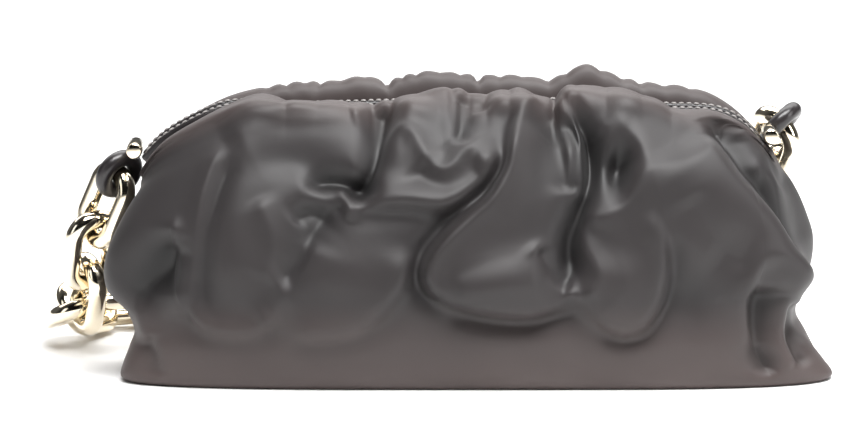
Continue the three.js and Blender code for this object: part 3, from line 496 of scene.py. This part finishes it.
def smooth_line(places, spacing):
    """A Catmull-Rom curve through chosen places, as many short straight steps."""
    places = np.array(places, float)
    padded = np.vstack([2 * places[0] - places[1], places, 2 * places[-1] - places[-2]])
    steps = []
    for i in range(1, len(padded) - 2):
        a, b, c, d = padded[i - 1:i + 3]
        count = max(2, int(np.linalg.norm(c - b) / spacing))
        t = np.linspace(0, 1, count, endpoint=False)[:, None]
        steps.append(0.5 * (2 * b + (c - a) * t + (2 * a - 5 * b + 4 * c - d) * t ** 2
                            + (3 * b - a - 3 * c + d) * t ** 3))
    steps.append(places[-1:])
    return np.vstack(steps)


def measure_line(x, y, line):
    """Distance from each place to a line, the side it is on and its share along the line."""
    lengths = np.linalg.norm(np.diff(line, axis=0), axis=1)
    passed = np.concatenate([[0.0], np.cumsum(lengths)])
    best = np.full(x.shape, np.inf)
    side = np.ones(x.shape)
    share = np.zeros(x.shape)
    for i, length in enumerate(lengths):
        dx, dy = (line[i + 1] - line[i]) / length
        ox, oy = x - line[i, 0], y - line[i, 1]
        along = np.clip(ox * dx + oy * dy, 0, length)
        distance = np.hypot(ox - along * dx, oy - along * dy)
        nearer = distance < best
        best = np.where(nearer, distance, best)
        side = np.where(nearer, np.sign(dx * oy - dy * ox), side)
        share = np.where(nearer, (passed[i] + along) / passed[-1], share)
    return best, side, share


def near_line(x, y, line, margin):
    low, high = line.min(0) - margin, line.max(0) + margin
    return (x > low[0]) & (x < high[0]) & (y > low[1]) & (y < high[1])


def end_taper(share):
    return smooth_step(0, FOLD_TAPER, share) * smooth_step(0, FOLD_TAPER, 1 - share)


def crease_lift(x, y, creases):
    """Rounded crests and creases: a narrow middle on a broader base."""
    lift = np.zeros(x.shape)
    for height, width, places in creases:
        line = smooth_line(places, LINE_STEP)
        near = near_line(x, y, line, CREASE_REACH * width)
        distance, _, share = measure_line(x[near], y[near], line)
        rounded = np.sqrt(distance ** 2 + CREASE_ROUND ** 2) - CREASE_ROUND
        middle = CREASE_MIDDLE * np.exp(-rounded / width)
        form = middle + CREASE_BASE * bell(distance / (CREASE_BASE_WIDTH * width))
        lift[near] += height * form * end_taper(share) * bell(distance / (CREASE_FADE * width))
    return lift


def ledge_lift(x, y, ledges):
    """Edges where one fullness of the leather hangs over the next."""
    lift = np.zeros(x.shape)
    for height, width, reach, places in ledges:
        line = smooth_line(places, LINE_STEP)
        near = near_line(x, y, line, LEDGE_REACH * reach)
        distance, side, share = measure_line(x[near], y[near], line)
        edge = 0.5 + 0.5 * np.tanh(side * distance / width)
        inside = bell(distance / reach)
        below = HOLLOW_WIDTH * width
        hollow = LEDGE_HOLLOW * bell((distance - below) / below) * (side < 0)
        lift[near] += height * (edge * inside - hollow) * end_taper(share)
    return lift


def swell_lift(x, y, swells):
    lift = np.zeros(x.shape)
    for height, centre, sizes, turn in swells:
        angle = math.radians(turn)
        dx, dy = x - centre[0], y - centre[1]
        across = dx * math.cos(angle) + dy * math.sin(angle)
        along = dy * math.cos(angle) - dx * math.sin(angle)
        lift += height * bell(across / sizes[0]) * bell(along / sizes[1])
    return lift


def photo_to_flat(x, y):
    """Places in the photograph's pixels as millimetres across and up."""
    return x / PHOTO_SCALE, -y / PHOTO_SCALE


def shares_to_flat(across, up):
    """Places in shares of half the width and of the height as millimetres across and up."""
    return across * HALF_WIDTH, up * BAG_HEIGHT


def flat_rows(rows, to_flat):
    """A fold table's rows with their lines in millimetres."""
    return [(*row[:-1], [to_flat(*place) for place in row[-1]]) for row in rows]


def front_lift(x, y):
    """Sharp and broad lift of the front's folds at places of the photograph's frame, in its pixels."""
    flat = photo_to_flat(x, y)
    sharp = crease_lift(*flat, flat_rows(FRONT_CREASES, photo_to_flat))
    broad = ledge_lift(*flat, flat_rows(FRONT_LEDGES, photo_to_flat))
    return sharp, broad + swell_lift(x, y, FRONT_SWELLS)


def back_lift(x, z):
    """Sharp and broad lift of the back's folds, seen from the front through the bag, in millimetres."""
    sharp = crease_lift(x, z, flat_rows(BACK_CREASES, shares_to_flat))
    broad = ledge_lift(x, z, flat_rows(BACK_LEDGES, shares_to_flat))
    return sharp, broad + swell_lift(x / HALF_WIDTH, z / BAG_HEIGHT, BACK_SWELLS)


def pleat_depth(x, along, pleats, rolled):
    """Depth of one face's pleats on its rolled edge. Rolled is 0 at the crest and 1 at the frame."""
    px = PHOTO_ORIGIN[0] + x * PHOTO_SCALE
    depth = np.zeros(x.shape)
    for centre, half, most, lean in pleats:
        distance = np.abs(px - centre - lean * rolled) / half
        depth += most * (0.5 * np.exp(-PLEAT_SHARPNESS * distance) + 0.5 * bell(distance))
    return depth * smooth_step(*PLEAT_SIDES, along)


def pleated(points, around, share, rolled):
    """Points near the mouth's edge with its pleats, by their share from the walls to the crest."""
    _, along = plan_direction(around)
    x = points[..., 0]
    depth = pleat_depth(x, -along, FRONT_PLEATS, rolled) + pleat_depth(x, along, BACK_PLEATS, rolled)
    points = points.copy()
    points[..., 2] -= share * depth
    points[..., 1] -= np.sign(points[..., 1]) * share * PLEAT_INWARD * depth
    return points


def roll_rows(lip, around):
    """Rows of points from the crest of the mouth's edge over to the frame."""
    level = mouth_level(lip[:, 0] / HALF_WIDTH)
    inner_y = np.sign(lip[:, 1]) * np.minimum(np.abs(lip[:, 1]), ROLL_INNER)
    inner_z = np.minimum(lip[:, 2], level) - ROLL_DROP
    rows = []
    for step in range(1, ROLL_STEPS + 1):
        turn = math.pi / 2 * step / ROLL_STEPS
        row = lip.copy()
        row[:, 1] += (inner_y - lip[:, 1]) * math.sin(turn)
        row[:, 2] += (inner_z - lip[:, 2]) * (1 - math.cos(turn))
        rolled = step / ROLL_STEPS
        rows.append(pleated(row, around, 1 - ROLL_FADE * rolled, rolled))
    return np.array(rows)


def blurred(values, spread):
    """Grid values smoothed over neighbouring columns, which go round, and rows."""
    reach = int(3 * spread) + 1
    weights = np.exp(-0.5 * (np.arange(-reach, reach + 1) / spread) ** 2)
    weights = weights / weights.sum()
    rows = len(values)
    across = sum(w * np.roll(values, k - reach, axis=1) for k, w in enumerate(weights))
    padded = np.pad(across, ((reach, reach), (0, 0)), mode="edge")
    return sum(w * padded[k:k + rows] for k, w in enumerate(weights))


def lowest_near(values, reach):
    """Least grid value within a number of columns and rows."""
    rows = len(values)
    across = np.min([np.roll(values, k, axis=1) for k in range(-reach, reach + 1)], axis=0)
    padded = np.pad(across, ((reach, reach), (0, 0)), mode="edge")
    return np.min([padded[k:k + rows] for k in range(2 * reach + 1)], axis=0)


def fold_grid(around, rise, points):
    """Lift of all the folds on the leather's grid."""
    _, along = plan_direction(around)
    front = smooth_step(*FOLD_SIDES, -along)
    back = smooth_step(*FOLD_SIDES, along)
    steady = smooth_step(*FOLD_LEVELS, points[..., 2] / BAG_HEIGHT)
    steady = steady * (1 - smooth_step(FOLD_FREE_RISE, 1.0, rise))
    front_sharp, front_broad = front_lift(*photo_places(points))
    back_sharp, back_broad = back_lift(points[..., 0], points[..., 2])
    sharp = blurred(front * front_sharp + back * back_sharp, SHARP_BLUR)
    broad = blurred(front * front_broad + back * back_broad, BROAD_BLUR)
    return steady * (sharp + broad)


def passed_lengths(points):
    """Length of the way up to each of its points."""
    return np.concatenate([[0], np.cumsum(np.linalg.norm(np.diff(points, axis=0), axis=1))])


def even_rises(count):
    """Rises from the foot to the mouth, evenly spaced along the front's profile."""
    rise = np.linspace(0, 1.0, PROFILE_STEPS)
    length = passed_lengths(base_points(np.full_like(rise, FRONT_MIDDLE), rise))
    return np.interp(np.linspace(0, length[-1], count), length, rise)


def round_places():
    counts = (FRONT_COLUMNS, END_COLUMNS, BACK_COLUMNS, END_COLUMNS)
    return np.concatenate([side + np.arange(count) / count for side, count in enumerate(counts)])


def mesh_object(name, vertices, faces, smooth=True):
    mesh = bpy.data.meshes.new(name)
    mesh.from_pydata([tuple(v) for v in vertices], [], faces)
    mesh.update()
    if smooth:
        mesh.polygons.foreach_set("use_smooth", [True] * len(mesh.polygons))
    obj = bpy.data.objects.new(name, mesh)
    bpy.context.scene.collection.objects.link(obj)
    return obj


def grid_faces(rows, count):
    """Faces between closed rings of points, as pairs of rows going upwards."""
    faces = []
    for i in range(rows - 1):
        here = i * count
        above = here + count
        for j in range(count):
            right = (j + 1) % count
            faces.append((here + j, here + right, above + right, above + j))
    return faces


def add_attribute(obj, name, values):
    attribute = obj.data.attributes.new(name, "FLOAT", "POINT")
    attribute.data.foreach_set("value", values.astype(np.float32))


def inside_rings(base, normals, lift, rises):
    """Rings of the inside from the mouth down: a wall's thickness within the deepest folds nearby."""
    rows = np.flatnonzero(rises < INSIDE_TOP)[::-INSIDE_STEP]
    deepest = np.minimum(lowest_near(lift, INSIDE_STEP), 0)
    inside = (base + normals * (deepest - LEATHER_WALL)[..., None])[rows]
    low = rises[rows, None] < INSIDE_FOOT
    least = np.minimum(base[rows][..., 2], LEATHER_WALL)
    inside[..., 2] = np.where(low, np.maximum(inside[..., 2], least), inside[..., 2])
    floor = inside[-1:] * np.array([*FLOOR_SHARES, 0.0]) + np.array([0.0, 0.0, LEATHER_WALL])
    return np.concatenate([inside, floor])


def mark_leather(obj, outside, lift, rises):
    """Lift and painted light of each point, which the leather's colour follows: first the outside, then the
    roll.
    """
    total = len(obj.data.vertices)
    rolled = ROLL_STEPS * outside.shape[1]
    lifts = np.zeros(total)
    lifts[:lift.size] = lift.reshape(-1)
    add_attribute(obj, "fold_lift", lifts)
    painted_light = np.zeros(total)
    # Painted highlight along the crest and on the rolled edge, and painted floor reflection on the band
    # above the foot
    crest = PAINTED_CREST_HIGHLIGHT * smooth_step(PAINTED_HIGHLIGHT_RISE, 1.0, rises)
    painted_light[:lift.size] = np.maximum(1 - outside[..., 2] / PAINTED_REFLECTION_TALL, crest).clip(0, 1).reshape(-1)
    painted_light[lift.size:lift.size + rolled] = PAINTED_CREST_HIGHLIGHT
    add_attribute(obj, "painted_light", painted_light)


def make_leather():
    """The pouch: rings of its outside, its rolled mouth edge and its inside, closed below."""
    around = round_places()
    count = len(around)
    rises = even_rises(OUTSIDE_ROWS)
    around_grid, rise_grid = np.meshgrid(around, rises)
    base = base_points(around_grid, rise_grid)
    normals = base_normals(around_grid, rise_grid)
    lift = fold_grid(around_grid, rise_grid, base)
    outside = base + normals * lift[..., None]
    rolled = roll_rows(outside[-1], around)
    outside = pleated(outside, around_grid, smooth_step(PLEAT_RISE, 1.0, rise_grid), 0.0)
    rings = np.concatenate([outside, rolled, inside_rings(base, normals, lift, rises)])
    faces = grid_faces(len(rings), count)
    faces.append(tuple(range(count - 1, -1, -1)))
    faces.append(tuple((len(rings) - 1) * count + j for j in range(count)))
    obj = mesh_object("pouch_leather", rings.reshape(-1, 3) * MM, faces)
    mark_leather(obj, outside, lift, rise_grid)
    return obj


# Materials

def new_material(name):
    material = bpy.data.materials.new(name)
    material.use_nodes = True
    nodes = material.node_tree.nodes
    links = material.node_tree.links
    return material, nodes, links, nodes["Principled BSDF"]


def add_noise(nodes, links, scale, detail):
    coordinates = nodes.new("ShaderNodeTexCoord")
    noise = nodes.new("ShaderNodeTexNoise")
    noise.inputs["Scale"].default_value = scale
    noise.inputs["Detail"].default_value = detail
    links.new(coordinates.outputs["Object"], noise.inputs["Vector"])
    return noise.outputs["Fac"]


def add_ramp(nodes, links, source, stops):
    ramp = nodes.new("ShaderNodeValToRGB")
    elements = ramp.color_ramp.elements
    while len(elements) < len(stops):
        elements.new(0.5)
    for element, (place, colour) in zip(elements, stops):
        element.position = place
        element.color = (*colour, 1.0)
    links.new(source, ramp.inputs["Fac"])
    return ramp


def add_attribute_node(nodes, name):
    attribute = nodes.new("ShaderNodeAttribute")
    attribute.attribute_name = name
    return attribute.outputs["Fac"]


def mix_colours(nodes, links, share, first, second, blend="MIX"):
    """Mix of two nodes' colours, by a share or wholly."""
    mix = nodes.new("ShaderNodeMixRGB")
    mix.blend_type = blend
    mix.inputs["Fac"].default_value = 1.0
    if share is not None:
        links.new(share, mix.inputs["Fac"])
    links.new(first.outputs["Color"], mix.inputs["Color1"])
    links.new(second.outputs["Color"], mix.inputs["Color2"])
    return mix


def add_range(nodes, links, source, low, high, from_low=0.0, from_high=1.0):
    spread = nodes.new("ShaderNodeMapRange")
    spread.inputs["From Min"].default_value = from_low
    spread.inputs["From Max"].default_value = from_high
    spread.inputs["To Min"].default_value = low
    spread.inputs["To Max"].default_value = high
    links.new(source, spread.inputs["Value"])
    return spread.outputs["Result"]


def set_colour(nodes, links, shader, noise, stops):
    """Base colour that drifts over the surface with a noise."""
    ramp = add_ramp(nodes, links, noise, stops)
    links.new(ramp.outputs["Color"], shader.inputs["Base Color"])


def set_roughness(nodes, links, shader, noise, low, high):
    """Roughness that drifts over the surface with a noise."""
    links.new(add_range(nodes, links, noise, low, high), shader.inputs["Roughness"])


def add_relief(nodes, links, scale, detail, strength, distance, before=None):
    """Fine relief from noise, on top of a coarser one where that is given. The distance is in metres."""
    bump = nodes.new("ShaderNodeBump")
    bump.inputs["Strength"].default_value = strength
    bump.inputs["Distance"].default_value = distance
    links.new(add_noise(nodes, links, scale, detail), bump.inputs["Height"])
    if before is not None:
        links.new(before, bump.inputs["Normal"])
    return bump.outputs["Normal"]


def nappa_material():
    """Smooth brown-black leather: soft gloss and fine grain, with a painted floor reflection above the foot,
    a painted highlight along the mouth's edge, painted shade in the creases and painted light on the ridges.
    """
    material, nodes, links, shader = new_material("nappa")
    drift = add_noise(nodes, links, scale=14.0, detail=4.0)
    dark = add_ramp(nodes, links, drift, NAPPA_DARK)
    light = add_ramp(nodes, links, drift, NAPPA_PAINTED_REFLECTION)
    # Painted light: the lighter colour stands in for the floor's reflection and the crest's highlight
    with_painted_light = mix_colours(nodes, links, add_attribute_node(nodes, "painted_light"), dark, light)
    lift = add_attribute_node(nodes, "fold_lift")
    # Painted shade in the creases and painted light on the ridges, multiplied into the colour by the fold's
    # lift
    painted_fold_shade = add_ramp(nodes, links, add_range(nodes, links, lift, 0.0, 1.0, *CREASE_LIFTS), PAINTED_FOLD_SHADES)
    shaded = mix_colours(nodes, links, None, with_painted_light, painted_fold_shade, "MULTIPLY")
    links.new(shaded.outputs["Color"], shader.inputs["Base Color"])
    patches = add_noise(nodes, links, scale=45.0, detail=5.0)
    set_roughness(nodes, links, shader, patches, low=0.49, high=0.60)
    shader.inputs["Specular IOR Level"].default_value = 0.46
    shader.inputs["Sheen Weight"].default_value = 0.05
    slack = add_relief(nodes, links, scale=30.0, detail=3.0, strength=0.35, distance=0.0012)
    grain = add_relief(nodes, links, scale=1500.0, detail=2.0, strength=0.12, distance=0.0002, before=slack)
    links.new(grain, shader.inputs["Normal"])
    return material


def edge_leather_material():
    """Glossier leather of the frame's binding and the strap loops."""
    material, nodes, links, shader = new_material("edge_leather")
    drift = add_noise(nodes, links, scale=60.0, detail=4.0)
    set_colour(nodes, links, shader, drift, EDGE_COLOURS)
    set_roughness(nodes, links, shader, drift, low=0.24, high=0.38)
    grain = add_relief(nodes, links, scale=1200.0, detail=2.0, strength=0.12, distance=0.0002)
    links.new(grain, shader.inputs["Normal"])
    return material


def pale_gold_material():
    """Polished pale gold plate with faint wear in its gloss."""
    material, nodes, links, shader = new_material("pale_gold")
    drift = add_noise(nodes, links, scale=90.0, detail=4.0)
    set_colour(nodes, links, shader, drift, GOLD_COLOURS)
    shader.inputs["Metallic"].default_value = 1.0
    set_roughness(nodes, links, shader, drift, low=0.07, high=0.16)
    wear = add_relief(nodes, links, scale=260.0, detail=3.0, strength=0.05, distance=0.0003)
    links.new(wear, shader.inputs["Normal"])
    return material


def thread_material():
    material, nodes, links, shader = new_material("thread")
    set_colour(nodes, links, shader, add_noise(nodes, links, scale=900.0, detail=2.0), THREAD_COLOURS)
    shader.inputs["Roughness"].default_value = 0.6
    return material


def stage_material():
    material, nodes, links, shader = new_material("pale_floor")
    set_colour(nodes, links, shader, add_noise(nodes, links, scale=3.0, detail=2.0), FLOOR_COLOURS)
    shader.inputs["Roughness"].default_value = 0.55
    return material


# Frame, stitches, pins, loops and chain

def node_axes(node):
    """Centre, long, wide and thin direction of a flat ring node, and its half lengths along them."""
    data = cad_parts[node].data
    points = np.zeros(len(data.vertices) * 3)
    data.vertices.foreach_get("co", points)
    points = np.unique(np.round(points.reshape(-1, 3), NODE_DIGITS), axis=0)
    centre = points.mean(0)
    _, vectors = np.linalg.eigh(np.cov((points - centre).T))
    long, wide = vectors[:, 2], vectors[:, 1]
    thin = np.cross(long, wide)
    halves = [np.abs((points - centre) @ axis).max() for axis in (long, wide, thin)]
    return centre, long, wide, thin, halves


def rounded_path(half_long, half_wide, corner, steps):
    """Even steps round a rectangle with round corners, each a place and the direction outwards."""
    straight = np.array([half_long - corner, half_wide - corner])
    dense = []
    for signs, start in (((1, 1), 0), ((-1, 1), 90), ((-1, -1), 180), ((1, -1), 270)):
        for k in range(CORNER_STEPS + 1):
            angle = math.radians(start + 90 * k / CORNER_STEPS)
            outward = np.array([math.cos(angle), math.sin(angle)])
            dense.append(np.concatenate([straight * signs + corner * outward, outward]))
    dense = np.array(dense + [dense[0]])
    length = passed_lengths(dense[:, :2])
    at = np.linspace(0, length[-1], steps, endpoint=False)
    return np.stack([np.interp(at, length, dense[:, i]) for i in range(4)], axis=1)


def ring_object(name, node, half_long, half_wide, corner, radius):
    """Smooth ring of round wire lying where a CAD ring lies, sizes in metres."""
    centre, long, wide, thin, _ = node_axes(node)
    path = rounded_path(half_long, half_wide, corner, RING_STEPS)
    vertices = []
    for px, py, ox, oy in path:
        outward = long * ox + wide * oy
        outward = outward / np.linalg.norm(outward)
        place = centre + long * px + wide * py
        for k in range(WIRE_SIDES):
            angle = 2 * math.pi * k / WIRE_SIDES
            vertices.append(place + radius * (math.cos(angle) * outward - math.sin(angle) * thin))
    faces = []
    for i in range(RING_STEPS):
        here, following = i * WIRE_SIDES, ((i + 1) % RING_STEPS) * WIRE_SIDES
        for k in range(WIRE_SIDES):
            next_k = (k + 1) % WIRE_SIDES
            faces.append((here + k, following + k, following + next_k, here + next_k))
    obj = mesh_object(name, vertices, faces)
    face_outwards(obj)
    return obj


def face_outwards(obj):
    work = bmesh.new()
    work.from_mesh(obj.data)
    bmesh.ops.recalc_face_normals(work, faces=work.faces)
    work.to_mesh(obj.data)
    work.free()


def finish_piece(obj, material, slot, *nodes):
    obj.data.materials.clear()
    obj.data.materials.append(material)
    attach(obj, "root")
    if nodes:
        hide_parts(*nodes)


def make_chain(material):
    half_long = (LINK_LENGTH - LINK_BAR) / 2 * MM
    half_wide = (LINK_WIDTH - LINK_BAR) / 2 * MM
    radius = LINK_BAR / 2 * MM
    for node in sorted(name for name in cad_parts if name.startswith("link_")):
        obj = ring_object("chain_" + node, node, half_long, half_wide, LINK_CORNER * MM, radius)
        finish_piece(obj, material, "chain_metal", node)


def make_loops(material):
    tube = LOOP_TUBE * MM
    for side in ("left", "right"):
        node = "strap_loop_" + side
        halves = node_axes(node)[-1]
        half_wide = halves[1] - tube
        half_long = max(halves[0] - tube, half_wide)
        obj = ring_object("rolled_loop_" + side, node, half_long, half_wide, half_wide, tube)
        finish_piece(obj, material, "frame_leather", node)


def beveled_copy(name, node, width):
    """A CAD node's solid with rounded edges."""
    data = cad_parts[node].data.copy()
    obj = bpy.data.objects.new(name, data)
    bpy.context.scene.collection.objects.link(obj)
    work = bmesh.new()
    work.from_mesh(data)
    bmesh.ops.remove_doubles(work, verts=work.verts, dist=WELD_METRES)
    bmesh.ops.dissolve_limit(work, angle_limit=FLAT_ANGLE, verts=work.verts, edges=work.edges)
    edges = [e for e in work.edges if len(e.link_faces) == 2 and e.calc_face_angle(0) > BEVEL_ANGLE]
    bmesh.ops.bevel(work, geom=edges, offset=width, segments=BEVEL_STEPS, affect="EDGES", profile=0.5)
    work.to_mesh(data)
    work.free()
    data.polygons.foreach_set("use_smooth", [True] * len(data.polygons))
    return obj


def make_frames(material):
    for side in ("front", "back"):
        obj = beveled_copy("frame_binding_" + side, "mouth_frame_" + side, FRAME_BEVEL * MM)
        finish_piece(obj, material, "frame_leather", "mouth_frame_" + side)


def frame_edge():
    """Top edge of the frame from end to end, as evenly stepped points in millimetres."""
    inset = 2 * LEATHER_WALL / HALF_WIDTH
    along = np.linspace(MOUTH["along"][0] + inset, MOUTH["along"][-1] - inset, FRAME_SAMPLES)
    middle = 1 - smooth_step(*FRAME_SPAN, np.abs(along))
    top = mouth_level(along) + FRAME_RISE - (FRAME_RISE + FRAME_SINK) * middle
    points = np.stack([along * HALF_WIDTH, top], axis=1)
    length = passed_lengths(points)
    at = np.arange(STITCH_PITCH, length[-1] - STITCH_PITCH, STITCH_PITCH)
    return np.stack([np.interp(at, length, points[:, i]) for i in range(2)], axis=1)


def add_stitch(vertices, faces, place, along, up):
    """One stitch: a short round thread whose ends dip into the leather."""
    side = np.cross(along, up)
    first = len(vertices)
    for share, thick in STITCH_RINGS:
        centre = place + along * STITCH_LENGTH * share + up * STITCH_RADIUS * (thick - STITCH_SINK)
        for k in range(STITCH_SIDES):
            angle = 2 * math.pi * k / STITCH_SIDES
            ring = math.cos(angle) * side + math.sin(angle) * up
            vertices.append(centre + ring * STITCH_RADIUS * thick)
    last = len(vertices) - STITCH_SIDES
    faces.append(tuple(first + k for k in range(STITCH_SIDES)))
    faces.append(tuple(last + k for k in reversed(range(STITCH_SIDES))))
    for here in range(first, last, STITCH_SIDES):
        ahead = here + STITCH_SIDES
        for k in range(STITCH_SIDES):
            following = (k + 1) % STITCH_SIDES
            faces.append((here + k, ahead + k, ahead + following, here + following))


def make_stitches(material):
    """Two rows of stitches along the binding of each frame half."""
    edge = frame_edge()
    vertices, faces = [], []
    for i in range(len(edge) - 1):
        run = edge[i + 1] - edge[i]
        along = np.array([run[0], 0.0, run[1]]) / np.linalg.norm(run)
        up = np.array([-along[2], 0.0, along[0]])
        middle = (edge[i] + edge[i + 1]) / 2
        for y in STITCH_ROWS:
            add_stitch(vertices, faces, np.array([middle[0], y, middle[1]]), along, up)
    obj = mesh_object("binding_stitches", np.array(vertices) * MM, faces)
    face_outwards(obj)
    finish_piece(obj, material, "frame_leather")


def make_pins(material):
    for side in ("left", "right"):
        obj = beveled_copy("hinge_knob_" + side, "hinge_pin_" + side, PIN_BEVEL * MM)
        finish_piece(obj, material, "chain_metal", "hinge_pin_" + side)


# Stage, light and camera

def make_floor(material):
    signs = ((-1, -1), (1, -1), (1, 1), (-1, 1))
    corners = [(x * FLOOR_HALF, y * FLOOR_HALF, 0) for x, y in signs]
    obj = mesh_object("floor", corners, [(0, 1, 2, 3)], smooth=False)
    obj.data.materials.append(material)


def add_light(name, place, target, size, power):
    data = bpy.data.lights.new(name, "AREA")
    data.shape = "RECTANGLE"
    data.size, data.size_y = size
    data.energy = power
    obj = bpy.data.objects.new(name, data)
    obj.location = place
    obj.rotation_mode = "QUATERNION"
    obj.rotation_quaternion = (Vector(target) - Vector(place)).to_track_quat("-Z", "Y")
    bpy.context.scene.collection.objects.link(obj)


def make_world():
    """Pale studio: bright behind the bag and dim where the camera stands."""
    world = bpy.data.worlds.new("studio")
    world.use_nodes = True
    nodes = world.node_tree.nodes
    links = world.node_tree.links
    background = nodes["Background"]
    direction = nodes.new("ShaderNodeTexCoord")
    parts = nodes.new("ShaderNodeSeparateXYZ")
    fade = nodes.new("ShaderNodeMapRange")
    fade.interpolation_type = "SMOOTHSTEP"
    fade.inputs["From Min"].default_value = -STUDIO_FADE
    fade.inputs["From Max"].default_value = STUDIO_FADE
    fade.inputs["To Min"].default_value = STUDIO_FRONT
    fade.inputs["To Max"].default_value = STUDIO_BACK
    links.new(direction.outputs["Generated"], parts.inputs["Vector"])
    links.new(parts.outputs["Y"], fade.inputs["Value"])
    links.new(fade.outputs["Result"], background.inputs["Strength"])
    bpy.context.scene.world = world


def make_camera():
    data = bpy.data.cameras.new("camera")
    data.sensor_width = SENSOR_WIDTH
    data.lens = SENSOR_WIDTH * CAMERA_DISTANCE * PHOTO_SCALE / PHOTO_SIZE[0]
    data.clip_end = CLIP_END
    obj = bpy.data.objects.new("camera", data)
    back = Vector((0.0, -math.cos(CAMERA_LIFT), math.sin(CAMERA_LIFT)))
    obj.location = Vector(camera_centre() * MM) + back * CAMERA_DISTANCE * MM
    obj.rotation_mode = "QUATERNION"
    obj.rotation_quaternion = (-back).to_track_quat("-Z", "Y")
    bpy.context.scene.collection.objects.link(obj)
    bpy.context.scene.camera = obj


nappa = nappa_material()
edge_leather = edge_leather_material()
pale_gold = pale_gold_material()
finish_piece(make_leather(), nappa, "leather", "pouch_body")
make_frames(edge_leather)
make_stitches(thread_material())
make_pins(pale_gold)
make_loops(edge_leather)
make_chain(pale_gold)
make_floor(stage_material())
make_world()
for light in LIGHTS:
    add_light(*light)
make_camera()
bpy.context.scene.view_settings.view_transform = "Standard"
